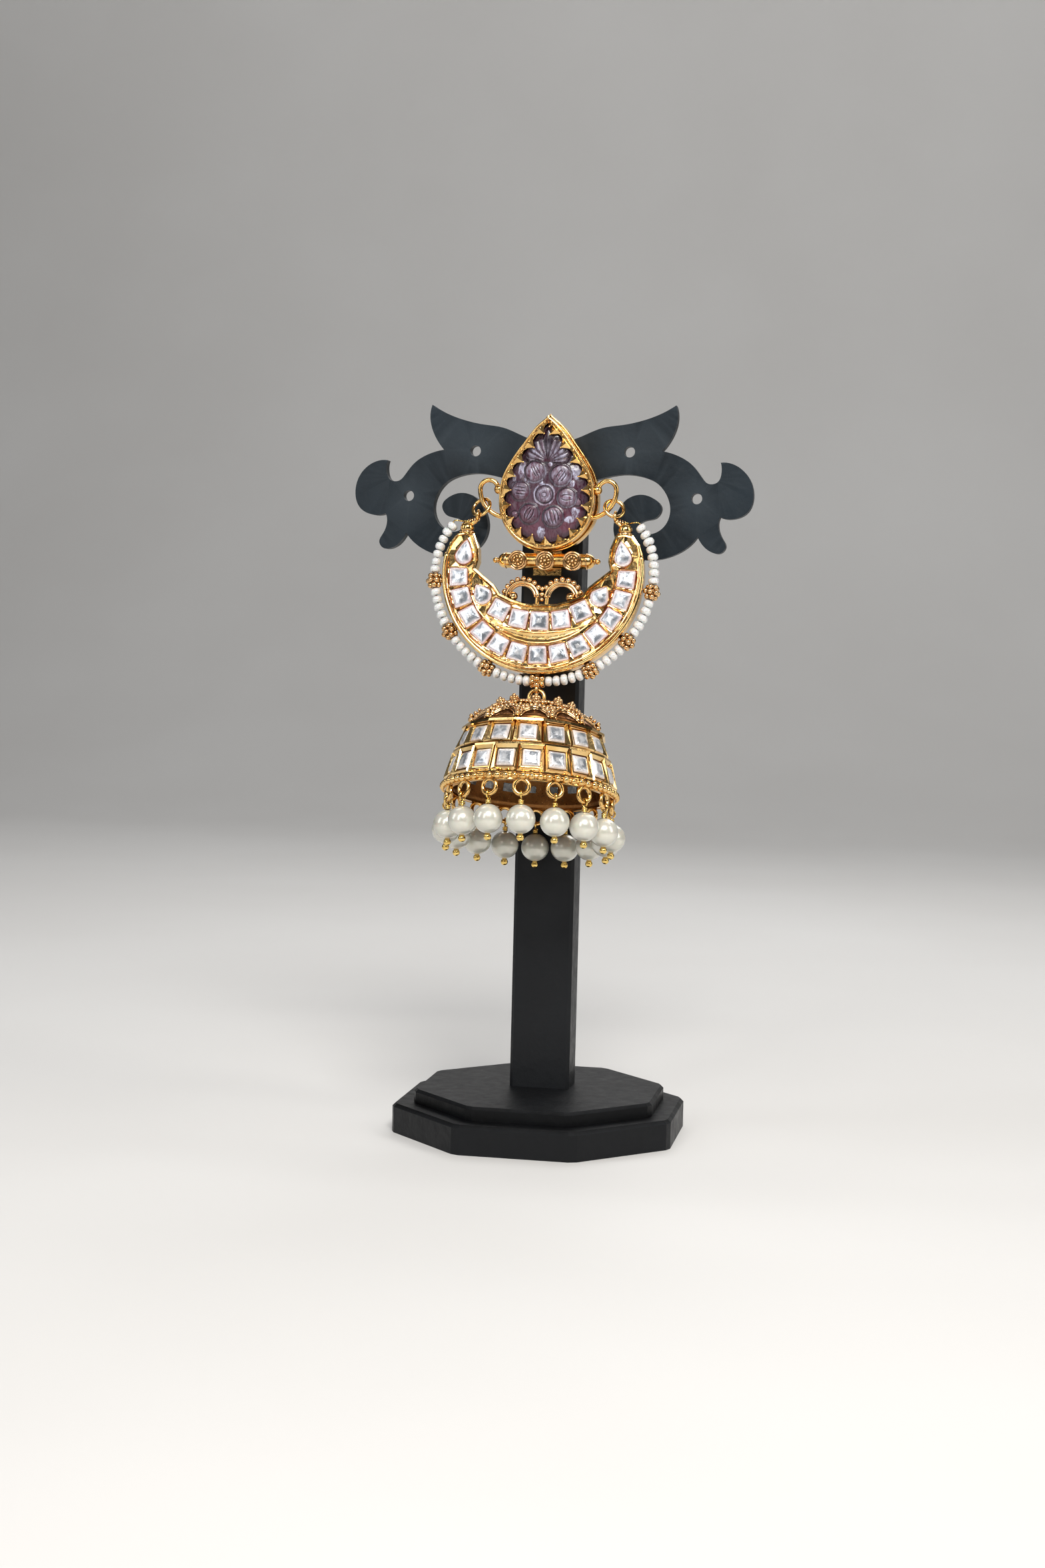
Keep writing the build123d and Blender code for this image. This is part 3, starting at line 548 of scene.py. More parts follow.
# engraved lines on each petal: sideways offset, half length, bend
CUTS = [
    ((-0.75, 1.05, 0.16), (-0.2, 1.3, 0.05), (0.3, 1.15, -0.08)),
    ((-0.9, 1.15, 0.16), (-0.3, 1.45, 0.06), (0.6, 1.1, -0.12)),
    ((-0.6, 1.3, 0.36), (0.55, 1.3, -0.36)),
    ((-1.15, 1.15, 0.25), (-0.4, 1.55, 0.08), (0.4, 1.55, -0.08), (1.15, 1.15, -0.25)),
    ((-0.75, 1.4, 0.45), (0.0, 1.1, 0.0), (0.75, 1.4, -0.45)),
    ((-0.8, 1.0, 0.05), (-0.1, 1.3, 0.0), (0.6, 1.05, -0.05)),
]


def spray(x, z):
    """Fan of fluted leaves above the flower: height, rise and frost, or None outside it."""
    dx, dz = x - 0.15, z - 8.1
    rho, turn = math.hypot(dx, dz), math.atan2(dx, dz)
    wide = abs(turn)
    if dz < -0.6 or wide > 1.75:
        return None
    reach = 7.4 - 9.0 * wide if wide < 0.24 else 5.7 - 2.1 * (wide - 0.75) ** 2
    edge = soft((reach - rho) / 0.9)
    if edge <= 0:
        return None
    flute = (wide - 0.24) / 0.3 + 0.035 * rho**1.5 * (1.0 if turn > 0 else 0.7) if wide >= 0.24 else 0.5 + turn / 0.48
    ridge = math.sin(math.pi * (flute % 1.0)) ** 0.7
    away = soft((rho - 0.3) / 1.6)
    streak = 0.5 + 0.5 * noise.noise(Vector((turn * 9.0, rho * 0.7, 6.0)))
    h = (0.12 + 0.3 * ridge * away) * edge
    # rise falls off towards the leaf tips at the top of the stone: painted shade, as on the open ground
    rise = 0.12 + (0.14 + 0.3 * ridge) * edge * (0.35 if wide < 0.24 else 1.0) * soft(1.9 - rho / 3.4)
    frost = 1.1 * ridge**1.5 * edge * away * streak * (0.25 if wide < 0.24 else 1.0) * soft(1.7 - rho / 3.6)
    return h, rise, frost


FROSTED = [(-5.1, 6.4, 0.95, 1.9), (-4.1, 4.4, 0.65, 0.9), (6.2, 5.8, 1.0, 1.7), (5.3, 3.5, 0.7, 0.8), (6.2, -2.5, 0.9, 1.2), (4.9, -3.9, 1.0, 0.7), (-1.0, -6.7, 0.9, 1.2), (-1.1, 3.6, 0.5, 0.5), (-2.8, -1.1, 0.8, 0.45), (2.7, -2.7, 0.7, 0.55), (0.7, 7.6, 0.5, 0.5), (-6.9, 4.6, 0.5, 0.9)]


def soft(value):
    """0..1 with an easy start and end."""
    value = max(0.0, min(1.0, value))
    return value * value * (3 - 2 * value)


def carving(x, z, depth):
    """Height in mm over the stone's shoulder, how raised the spot is (0..1) and how frosted; the raised share becomes
    the colour, with painted shade in the cuts, on one side of the petal rims, towards the top and under the claws.
    """
    swell = 1.6 * (1 - max(0.0, 1 - depth / 7.5) ** 2.3)
    h = 0.12 * noise.noise(Vector((x * 0.5, z * 0.5, 1.0)))
    r = math.hypot(x - HEART[0], z - HEART[1])
    if r < 2.35:
        if r > 1.95:
            lip = math.sin((2.35 - r) / 0.4 * math.pi)
            return swell + h + 0.14 * lip, 0.5 + 0.1 * lip, 0.3 + 0.7 * lip
        dome = 1 - (r / 1.95) ** 2
        h += 0.4 * dome**0.8 - 0.05
        rise, frost = 0.3 + 0.35 * dome, 0.35
        if r > 1.65:
            t = math.sin((1.95 - r) / 0.3 * math.pi)
            h -= 0.14 * t
            rise, frost = 0.34 - 0.2 * t, 0.05
        elif 0.95 < r < 1.3:
            frost = 0.35 + 0.5 * math.sin((1.3 - r) / 0.35 * math.pi)
        elif r < 0.38:
            h -= 0.08
            rise, frost = 0.8, 0.85
        elif r < 0.6:
            h -= 0.06
            rise, frost = 0.26, 0.1
        return swell + h, rise, frost
    for k, (dx, dz, size) in enumerate(PETALS):
        px, pz = HEART[0] + dx, HEART[1] + dz
        r = math.hypot(x - px, z - pz) * (1 + 0.06 * noise.noise(Vector((x * 0.8, z * 0.8, k))))
        if r >= size:
            continue
        out = math.atan2(dz, dx)
        a = out + (0.12, 0.08, 0.05, -0.1, 0.15, 0.0)[k]
        along = (x - px) * math.cos(a) + (z - pz) * math.sin(a)
        across = -(x - px) * math.sin(a) + (z - pz) * math.cos(a)
        # side is near 1 towards the upper left of each petal: the rim groove gets painted shade there, and on the first
        # three petals frost on the other side as a painted highlight
        side = 0.5 + 0.5 * math.cos(math.atan2(z - pz, x - px) - (2.3, 2.2, 2.0, 2.4, 2.3, 2.1)[k])
        dome = max(0.0, 1 - (r / size) ** 2)
        h += 0.5 * dome**0.8
        rise = 0.36 + 0.26 * dome
        frost = (0.5, 0.55, 0.4, 0.3, 0.15, 0.25)[k] * soft(dome * 1.6 - 0.2)
        edge = (size - r) / 0.5
        if edge < 1:
            t = math.sin(edge * math.pi)
            h -= (0.07 + 0.1 * side) * t
            rise -= (0.1 + 0.3 * side) * t
            frost = 0.55 * (1 - side) * t if k in (0, 1, 2) else 0.15 * t
        for line, half, bend in CUTS[k]:
            gap = abs(across - line - bend * (along / half) ** 2)
            if gap < 0.3 and abs(along) < half:
                ends = soft((half - abs(along)) / 0.3)
                cut = (0.5 + 0.5 * math.cos(min(1.0, gap / 0.18) * math.pi)) * ends
                h -= 0.12 * cut
                rise -= 0.5 * cut
                frost = frost * (1 - cut) + (0.5 * ends if 0.18 <= gap else 0.0)
        return swell + h, *shade_under_claws(max(0.05, rise), min(1.0, max(0.0, frost)), depth)
    got = spray(x, z)
    if got:
        return swell + h + got[0] - 0.1, *shade_under_claws(max(0.05, got[1] * 0.85), min(1.0, got[2]), depth)
    for px, pz in ((-6.75, -3.0), (6.6, -0.3), (-6.9, 3.0)):
        r = math.hypot(x - px, z - pz)
        if r < 0.95:
            if r > 0.68:
                return swell + h - 0.12, *shade_under_claws(0.22, 0.0, depth)
            return swell + h + 0.3 * (1 - (r / 0.68) ** 2), *shade_under_claws(0.6, 0.25, depth)
    # open ground between the motifs
    h -= 0.08
    # painted shade: the open ground is lowered and darkened towards the top of the stone
    above = soft((z - 5.6 + 0.5 * noise.noise(Vector((x * 0.6, z * 0.6, 8.0)))) / 3.0)
    h -= 0.08 * above
    for px, pz, ra, rb in FROSTED:
        e = ((x - px) / ra) ** 2 + ((z - pz) / rb) ** 2 + 0.7 * noise.noise(Vector((x * 1.3, z * 1.3, 4.0)))
        if e < 1:
            return swell + h + 0.1 * soft(1 - e), *shade_under_claws(0.5, min(1.0, 2.2 * (1 - e) + 0.25), depth)
    return swell + h, *shade_under_claws((0.46 + 0.14 * soft(-z / 4)) * (1 - 0.75 * above), 0.06, depth)


def shade_under_claws(rise, frost, depth):
    """Painted shade under the claws: marks darken and lose their frost near the outline."""
    edge = max(0.0, min(1.0, (depth - 2.0) / 1.3))
    return rise * (0.2 + 0.8 * edge), frost * edge


def carved_stone():
    """Carved front as a fine grid over the drop, closed behind."""
    step = 0.1
    stone = Piece()
    xs = int(18.0 / step)
    zs = int(27.5 / step)
    index, verts, rises, frosts = {}, [], [], []
    for i in range(xs + 1):
        for j in range(zs + 1):
            x, z = -9.0 + i * step, -9.2 + j * step
            depth = drop_depth(x, z)
            if depth < 1.8:
                continue
            h, rise, frost = carving(x, z, depth)
            if depth < 2.1:
                h = min(h, 0.25)
            index[i, j] = len(verts)
            verts.append((x, -8.75 - h, z))
            rises.append(rise)
            frosts.append(frost)
    faces = []
    for i in range(xs):
        for j in range(zs):
            corners = [(i, j), (i + 1, j), (i + 1, j + 1), (i, j + 1)]
            if all(c in index for c in corners):
                faces.append(tuple(index[c] for c in corners))
    edges = {}
    for f in faces:
        for a, b in zip(f, f[1:] + f[:1]):
            edges[a, b] = edges.get((a, b), 0) + 1
    rim = [(a, b) for a, b in edges if (b, a) not in edges]
    back = {}
    for a, b in rim:
        for v in (a, b):
            if v not in back:
                back[v] = len(verts)
                verts.append((verts[v][0], -6.2, verts[v][2]))
                rises.append(0.1)
                frosts.append(0.0)
    for a, b in rim:
        faces.append((b, a, back[a], back[b]))
    # the back closes on one middle point
    hub = len(verts)
    verts.append((0.0, -6.2, 1.0))
    rises.append(0.1)
    frosts.append(0.0)
    for a, b in rim:
        faces.append((back[b], back[a], hub))
    used = sorted({i for f in faces for i in f})
    remap = {old: new for new, old in enumerate(used)}
    stone.add([verts[i] for i in used], [tuple(remap[i] for i in f) for f in faces], True, carve=[rises[i] for i in used], frost=[frosts[i] for i in used])
    stone.build("carved_plum_stone", AT_STUD, PLUM, "stand", "plum_stone", ["carved_stone"])


def barrel_trim():
    """Wire rosettes with granules on the barrel, and fine collars at its ends."""
    p = Piece()
    z, y = 122.3, -10.0
    for x in (-5.8, 0.0, 5.8):
        p.ring((x, y - 0.05, z), (0, 1, 0), 1.84, 0.24, 36)
        p.ring((x, y - 0.1, z), (0, 1, 0), 1.38, 0.15, 32)
        p.ball((x, y - 0.18, z), 0.36)
        for k in range(8):
            a = 2 * math.pi * k / 8 + 0.2
            p.ball((x + 0.84 * math.cos(a), y - 0.12, z + 0.84 * math.sin(a)), 0.29)
    for s in (-1, 1):
        p.ring((s * 8.6, -8.0, z), (1, 0, 0), 1.6, 0.16, 28)
        p.ring((s * 10.35, -8.0, z), (1, 0, 0), 0.5, 0.16, 16)
    p.build("barrel_rosettes", AT_STAND, GOLD_GRAIN, "stand", "gold")


# ------------------------------------------------------------------ crescent
CR_R, FACE_Y = 21.3, -1.5
INNER_EDGE = [(15.0, 8.2), (13.9, 5.2), (13.7, 2.5), (14.3, 0.7), (12.0, -1.4), (10.3, -2.8), (8.9, -4.6), (6.3, -5.8), (3.1, -6.6), (0.0, -6.7)]
OUTER_TIP = [(18.6, 8.2), (20.1, 6.1), (20.85, 4.0)]


def square_outline(x, z, turn, size, keystone=0.0):
    """Square seen from the front; keystone narrows its upper side."""
    a = math.radians(turn)
    h = size / 2
    corners = ((-h - keystone, -h), (h + keystone, -h), (h - keystone, h), (-h + keystone, h))
    return [(x + cx * math.cos(a) - cz * math.sin(a), z + cx * math.sin(a) + cz * math.cos(a)) for cx, cz in corners]


def pear_outline(x, z, turn, width, length, count=16):
    """Pear shape with its point turned from straight up, clockwise positive."""
    r = width / 2
    pts = []
    for k in range(9):
        a = math.pi + math.pi * k / 8
        pts.append((r * math.cos(a), r * math.sin(a)))
    top = length - r
    for k in range(1, 6):
        t = k / 6
        pts.append((r * (1 - t) ** 0.85 * (1 + 0.32 * t), top * t))
    pts.append((0.0, top))
    for k in range(5, 0, -1):
        t = k / 6
        pts.append((-r * (1 - t) ** 0.85 * (1 + 0.32 * t), top * t))
    a = math.radians(turn)
    return [(x + px * math.cos(a) + pz * math.sin(a), z - px * math.sin(a) + pz * math.cos(a)) for px, pz in pts]


def crescent_cells():
    """Every stone of the crescent: (kind, outline)."""
    cells = []
    for k in range(-6, 7):
        a = math.radians(k * 14.35)
        size = 3.86 + jitter(0.06)
        r = 17.75 - 0.33 * math.cos(a) ** 2
        cells.append(("outer", square_outline(r * math.sin(a), -r * math.cos(a), k * 14.35 + jitter(1.5), size, 0.13)))
    for s in (-1, 1):
        a = math.radians(103.7)
        cells.append(("outer", pear_outline(s * 17.35 * math.sin(a), -17.35 * math.cos(a) - 0.9, -s * 9.0, 3.8, 5.6)))
    for x, z, turn in ((0.0, -10.28, 0.0), (4.42, -9.88, 9.0), (8.6, -8.08, 27.0)):
        for s in (-1, 1) if x else (1,):
            cells.append(("inner", square_outline(s * x, z, s * turn + jitter(1.5), 3.95 + jitter(0.06), 0.05)))
    for s in (-1, 1):
        cells.append(("inner", pear_outline(s * 12.4, -5.1, s * 32.0, 4.1, 4.75)))
    return cells


def inset_outline(points, inset):
    """Moves a convex outline inwards, towards its middle, by about inset."""
    cx = sum(p[0] for p in points) / len(points)
    cz = sum(p[1] for p in points) / len(points)
    out = []
    for x, z in points:
        d = math.hypot(x - cx, z - cz)
        k = max(0.05, 1 - inset / d * (1.41 if len(points) == 4 else 1.0))
        out.append((cx + (x - cx) * k, cz + (z - cz) * k))
    return out


def densify(points, per_side):
    out = []
    for a, b in zip(points, points[1:] + points[:1]):
        for k in range(per_side):
            t = k / per_side
            out.append((a[0] + t * (b[0] - a[0]), a[1] + t * (b[1] - a[1])))
    return out


def rounded(points, cut=0.34):
    """Softens the four corners of a square outline and adds points along its sides."""
    if len(points) != 4:
        return points
    out = []
    for i, c in enumerate(points):
        before, after = points[i - 1], points[(i + 1) % 4]
        d0, d1 = math.dist(c, before), math.dist(c, after)
        a = (c[0] + (before[0] - c[0]) * cut / d0, c[1] + (before[1] - c[1]) * cut / d0)
        b = (c[0] + (after[0] - c[0]) * cut / d1, c[1] + (after[1] - c[1]) * cut / d1)
        for t in (0.0, 0.5, 1.0):
            out.append(tuple((1 - t) ** 2 * p + 2 * t * (1 - t) * q + t * t * r for p, q, r in zip(a, c, b)))
        e = (after[0] + (c[0] - after[0]) * cut / d1, after[1] + (c[1] - after[1]) * cut / d1)
        for t in (0.25, 0.5, 0.75):
            out.append((b[0] + (e[0] - b[0]) * t, b[1] + (e[1] - b[1]) * t))
    return out


CUT_PROFILE = ((1.0, -1.2), (1.0, 0.1), (0.9, 0.36), (0.66, 0.6), (0.6, 0.63), (0.42, 0.65), (0.2, 0.67))
STONE_PROFILE = ((1.0, -1.2), (1.0, 0.02), (0.985, 0.2), (0.955, 0.33), (0.9, 0.43), (0.8, 0.52), (0.7, 0.575), (0.64, 0.59), (0.48, 0.635), (0.3, 0.665), (0.13, 0.68))


def cut_stone(piece, outline, place, high, tone, profile=STONE_PROFILE):
    """A foil-backed cushion stone with a soft bevel. place(u, v, h) puts a point."""
    base = rounded(outline)
    n = len(base)
    cx = sum(p[0] for p in base) / n
    cz = sum(p[1] for p in base) / n
    lean_x, lean_z = jitter(0.07), jitter(0.07)
    verts, zones = [], []
    for share, h in profile:
        for x, z in base:
            u, v = cx + (x - cx) * share, cz + (z - cz) * share
            lift = h * high / 0.68
            if h > 0:
                lift += (u - cx) * lean_x + (v - cz) * lean_z + 0.035 * noise.noise(Vector((u * 1.1, v * 1.1, cx + cz * 3)))
            verts.append(place(u, v, lift))
            zones.append(share)
    rows = len(profile)
    verts.append(place(cx, cz, high + 0.02))
    zones.append(0.0)
    faces = []
    for j in range(rows - 1):
        faces += [(j * n + k, j * n + (k + 1) % n, (j + 1) * n + (k + 1) % n, (j + 1) * n + k) for k in range(n)]
    faces += [((rows - 1) * n + k, (rows - 1) * n + (k + 1) % n, rows * n) for k in range(n)]
    faces.append(tuple(reversed(range(n))))
    piece.add(verts, faces, True, zone=zones, tone=tone)
    if profile is CUT_PROFILE:
        for j in range(len(faces) - 4 * n - 1):
            piece.smooth[len(piece.smooth) - len(faces) + j] = False


def arc(cx, cz, r, a0, a1, count):
    return [(cx + r * math.sin(math.radians(a0 + (a1 - a0) * k / count)), cz - r * math.cos(math.radians(a0 + (a1 - a0) * k / count))) for k in range(count + 1)]


def lens_edges():
    """Two curves of the plain band between the rows, meeting in points at both ends."""
    outer = arc(0.0, 0.2, 15.1, -43, 43, 20)
    inner = []
    for k, (x, z) in enumerate(outer):
        t = 1 - abs(k / 10 - 1)
        inner.append((x * (1 - 0.02 * t), z + (2.2 * math.sin(math.pi / 2 * t) ** 0.75 if 0 < k < 20 else 0)))
    return outer, inner


def bar(piece, points, wide, high, close=False, flat=0.35):
    """A hand-filed ridge with a flat sloping top, laid along (x, z, h) points of the face."""
    n = len(points)
    verts = []
    for i, (x, z, h) in enumerate(points):
        a = points[i - 1] if close or i else points[0]
        b = points[(i + 1) % n] if close or i < n - 1 else points[-1]
        dx, dz = b[0] - a[0], b[1] - a[1]
        d = math.hypot(dx, dz) or 1.0
        nx, nz = -dz / d, dx / d
        w = wide if not isinstance(wide, list) else wide[i]
        t = high if not isinstance(high, list) else high[i]
        lean = jitter(0.25) * w
        for side, up in ((-1.0, -0.5), (-0.8, 0.4), (-flat, 1.0), (flat, 0.92), (0.85, 0.3), (1.0, -0.5)):
            verts.append((x + nx * (side * w + lean * max(0.0, up)), FACE_Y - h - t * up, z + nz * (side * w + lean * max(0.0, up))))
    faces = []
    for i in range(n if close else n - 1):
        a, b = i * 6, ((i + 1) % n) * 6
        faces += [(a + k, b + k, b + (k + 1) % 6, a + (k + 1) % 6) for k in range(6)]
    if not close:
        faces += [(0, 1, 2, 3, 4, 5), tuple(reversed(range((n - 1) * 6, n * 6)))]
    piece.add(verts, faces, smooth=False)


def crescent_face():
    """The burnished foil round the stones: a faceted sheet, a lip at each stone and filed ridges."""
    cells = crescent_cells()
    verts, heights, edges, holes = [], [], [], []

    def point(x, z, h):
        verts.append(Vector((x, z)))
        heights.append(h)
        return len(verts) - 1

    def loop(points, h, spread=0.0, closed=True):
        ids = [point(x, z, h + jitter(spread)) for x, z in points]
        edges.extend(list(zip(ids, ids[1:] + ids[:1])) if closed else list(zip(ids, ids[1:])))
        return ids

    tip_angle = math.degrees(math.atan2(20.85, -4.0))
    outer = arc(0, 0, CR_R - 0.1, -tip_angle, tip_angle, 64)
    line = [*reversed(OUTER_TIP[:2]), *INNER_EDGE]
    line += [(-x, z) for x, z in reversed(line[:-1])]
    boundary = outer + line
    loop(boundary, -0.35)
    loop(arc(0, 0, CR_R - 0.75, -100, 100, 44), 0.18, 0.04, closed=False)
    low, high = lens_edges()
    band_outer = loop(low, 0.3, 0.02, closed=False)
    band_inner = [band_outer[0]] + [point(x, z, 0.3 + jitter(0.02)) for x, z in high[1:-1]] + [band_outer[-1]]
    edges.extend(zip(band_inner, band_inner[1:]))
    for k in range(2, 19):
        for t, h in ((0.3, 0.06), (0.65, 0.02)):
            point(low[k][0] + (high[k][0] - low[k][0]) * t, low[k][1] + (high[k][1] - low[k][1]) * t, h)
    for kind, outline in cells:
        shown = inset_outline(outline, 0.06)
        loop(densify(shown, 2) if len(shown) == 4 else shown, 0.12, 0.05)
        holes.append(shown)
    for k in range(-6, 6):
        a = math.radians((k + 0.5) * 14.35)
        for r in (16.7, 17.75, 18.8):
            point(r * math.sin(a) + jitter(0.03), -r * math.cos(a) + jitter(0.03), 0.34 + jitter(0.08))
    for s in (-1, 1):
        for x, z in ((2.28, -9.2), (2.3, -10.7), (6.55, -8.0), (6.9, -9.9), (10.0, -5.4), (11.5, -8.3), (13.1, -1.7), (15.0, -4.6), (14.7, 1.5), (16.9, 7.6)):
            point(s * x + jitter(0.05), z + jitter(0.05), 0.36 + jitter(0.1))
    points2, _, faces, orig_v, _, _ = delaunay_2d_cdt(verts, edges, [], 0, 1e-5)
    lift = []
    for i, p in enumerate(points2):
        src = orig_v[i]
        lift.append(sum(heights[k] for k in src) / len(src) if src else 0.15)

    def inside(poly, x, z):
        hit = False
        for (x0, z0), (x1, z1) in zip(poly, poly[1:] + poly[:1]):
            if (z0 > z) != (z1 > z) and x < (x1 - x0) * (z - z0) / (z1 - z0) + x0:
                hit = not hit
        return hit

    keep = []
    for f in faces:
        x = sum(points2[i].x for i in f) / len(f)
        z = sum(points2[i].y for i in f) / len(f)
        if inside(boundary, x, z) and not any(inside(h, x, z) for h in holes):
            area = sum(points2[a].x * points2[b].y - points2[b].x * points2[a].y for a, b in zip(f, list(f[1:]) + [f[0]]))
            keep.append(tuple(f) if area > 0 else tuple(reversed(f)))
    top = [(p.x, FACE_Y - h, p.y) for p, h in zip(points2, lift)]
    bottom = [(p.x, FACE_Y + 0.85, p.y) for p in points2]
    n = len(top)
    all_faces = list(keep) + [tuple(n + i for i in reversed(f)) for f in keep]
    used = {(a, b) for f in keep for a, b in zip(f, list(f[1:]) + [f[0]])}
    for a, b in sorted(used):
        if (b, a) not in used:
            all_faces.append((b, a, n + a, n + b))
    live = sorted({i for f in all_faces for i in f})
    remap = {old: new for new, old in enumerate(live)}
    both = top + bottom
    sheet = Piece()
    sheet.add([both[i] for i in live], [tuple(remap[i] for i in f) for f in all_faces], smooth=False)
    sheet.build("crescent_foil_face", AT_CRESCENT, GOLD_FOIL, "crescent", "gold")

    # lips pressed up round every stone
    lips = Piece()
    for kind, outline in cells:
        path = inset_outline(outline, -0.1)
        path = rounded(path, 0.5) if len(path) == 4 else path
        bar(lips, [(x, z, 0.22) for x, z in path], [0.13 + jitter(0.035) for _ in path], [0.22 + jitter(0.06) for _ in path], close=True)
    lips.build("crescent_stone_lips", AT_CRESCENT, GOLD_FOIL, "crescent", "gold")

    # filed ridges: outer rail, inner rail and both edges of the plain band
    rails = Piece()
    rim_path = arc(0, 0, CR_R - 0.42, -tip_angle, tip_angle, 90)
    rails.tube([(x, FACE_Y + 0.02, z) for x, z in rim_path], [0.46] * len(rim_path), 10)
    crest = arc(0, 0, CR_R - 1.12, -99, 99, 30)
    bar(rails, [(x, z, 0.16) for x, z in crest], [0.24 + jitter(0.04) for _ in crest], [0.3 + jitter(0.08) for _ in crest])
    half = [(x * 0.985 + 0.02, z - 0.34) for x, z in INNER_EDGE]
    half[0], half[1] = (15.35, 7.7), (14.35, 5.0)
    half[2], half[3] = (14.1, 2.5), (14.5, 0.5)
    inner_path = half + [(-x, z) for x, z in reversed(half[:-1])]
    bar(rails, [(x, z, 0.1) for x, z in inner_path], [0.36 + jitter(0.04) for _ in inner_path], [0.4 + jitter(0.05) for _ in inner_path], flat=0.5)
    for curve in (low, high):
        steps = len(curve)
        taper = [math.sin(math.pi * (k + 0.6) / (steps + 0.2)) ** 0.4 for k in range(steps)]
        bar(rails, [(x, z, 0.2) for x, z in curve], [0.24 * t + 0.05 for t in taper], [0.3 * t for t in taper], flat=0.3)
    # a second, finer line inside the band
    mid = [(low[k][0] + (high[k][0] - low[k][0]) * 0.42, low[k][1] + (high[k][1] - low[k][1]) * 0.42, 0.06) for k in range(2, len(low) - 2)]
    bar(rails, mid, [0.12] * len(mid), [0.14 + jitter(0.03) for _ in mid])
    for s in (-1, 1):
        tip = [(s * x, z) for x, z in ((20.35, 3.6), (19.75, 5.9), (18.3, 7.75))]
        bar(rails, [(x, z, 0.05) for x, z in tip], 0.3, 0.34)
        bar(rails, [(s * 15.6, 7.75, 0.08), (s * 17.0, 8.0, 0.16), (s * 18.2, 7.75, 0.08)], 0.28, 0.3)
        bar(rails, [(s * x, z, 0.24) for x, z in ((14.7, -0.3), (15.05, -2.9), (14.58, -5.4), (13.15, -8.2), (11.5, -10.1), (10.35, -10.8))], [0.3, 0.24, 0.18, 0.18, 0.22, 0.24], 0.3)
    rails.build("crescent_filed_ridges", AT_CRESCENT, GOLD_FOIL, "crescent", "gold")

    stones = {"outer": Piece(), "inner": Piece()}
    for kind, outline in cells:
        cut_stone(stones[kind], outline, lambda u, v, h: (u, FACE_Y - h, v), 0.66, RNG.random() ** 2)
    stones["outer"].build("crescent_outer_kundan", AT_CRESCENT, STONE_PINK, "crescent", "foil_stone", ["crescent_outer_stones"])
    stones["inner"].build("crescent_inner_kundan", AT_CRESCENT, STONE_PINK, "crescent", "foil_stone", ["crescent_inner_stones"])


def arch_trim():
    """Beading over the double arch, balls at its feet and wire twists at the collars."""
    p = Piece()
    for s in (-1, 1):
        ribbon = []
        for k in range(25):
            a = math.radians(-18 + 196 * k / 24)
            ribbon.append((s * (4.2 + 3.32 * math.cos(a)), 0.0, -5.2 + 3.32 * math.sin(a)))
        p.tube([(x, -0.4, z) for x, _, z in ribbon], 0.46, 8)
        p.tube([(x, 0.4, z) for x, _, z in ribbon], 0.46, 8)
        p.tube([(s * (4.2 + 2.78 * math.cos(math.radians(10 + 165 * k / 20))), -0.25, -5.2 + 2.78 * math.sin(math.radians(10 + 165 * k / 20))) for k in range(21)], 0.3, 8)
        for k in range(11):
            a = math.radians(-18 + 182 * k / 10)
            x, z = 4.2 + 4.0 * math.cos(a), -5.2 + 4.0 * math.sin(a)
            if x < 0.5:
                continue
            p.ball((s * x, -0.2 + jitter(0.06), z), 0.6 + jitter(0.03))
        p.ball((s * 6.05, -0.45, -4.95), 0.95, FINE)
        p.ball((s * 7.3, -0.35, -5.95), 0.48)
        # fine wire wound round each neck, and rings on the collar
        turns, steps = 3.2, 40
        pts = []
        for k in range(steps + 1):
            t = k / steps
            a = 2 * math.pi * turns * t
            x = 16.62 + (14.95 - 16.62) * t
            z = 10.85 + (11.35 - 10.85) * t
            pts.append((s * (x + 0.06 * math.cos(a)), 0.5 * math.sin(a), z + 0.5 * math.cos(a)))
        p.tube(pts, 0.17, 6)
        p.ring((s * 16.8, 0, 8.5), (0, 0, 1), 1.5, 0.24, 24)
        p.ring((s * 16.8, 0, 7.95), (0, 0, 1), 1.62, 0.2, 24)
    for z, r in ((-3.25, 0.52), (-4.4, 0.55), (-5.5, 0.5)):
        p.ball((0, -0.35, z), r)
    p.build("arch_beading", AT_CRESCENT, GOLD_GRAIN, "crescent", "gold")


STRAND = [(0.0, 22.62), (12.0, 22.85), (60.0, 23.05), (88.0, 23.25), (104.0, 23.1), (113.0, 22.7), (121.0, 22.0), (126.0, 21.2)]
SEED_L, GOLD_L = 1.65, 3.0
SEEDS = {1: [5, 4, 5, 8], -1: [5, 5, 5, 7]}


def strand_point(a):
    for (a0, r0), (a1, r1) in zip(STRAND, STRAND[1:]):
        if a <= a1:
            break
    r = r0 + (r1 - r0) * (a - a0) / (a1 - a0)
    return r * math.sin(math.radians(a)), -r * math.cos(math.radians(a))


def bead_shape(r, length, seg=20, rows=10):
    """A round flattened bead with a dimpled bore at each end, its bore along Z."""
    verts, faces = [], []
    profile = [(0.26, -0.36)]
    for k in range(rows + 1):
        t = math.pi * k / rows
        x, z = math.sin(t), -math.cos(t)
        profile.append((max(0.26, abs(x) ** 0.72), 0.5 * math.copysign(abs(z) ** 0.8, z)))
    profile.append((0.26, 0.36))
    for pr, pz in profile:
        for k in range(seg):
            a = 2 * math.pi * k / seg
            verts.append(Vector((pr * r * math.cos(a), pr * r * math.sin(a), pz * length)))
    m = len(profile)
    for i in range(m - 1):
        faces += [(i * seg + k, i * seg + (k + 1) % seg, (i + 1) * seg + (k + 1) % seg, (i + 1) * seg + k) for k in range(seg)]
    faces.append(tuple(reversed(range(seg))))
    faces.append(tuple(range((m - 1) * seg, m * seg)))
    return verts, faces


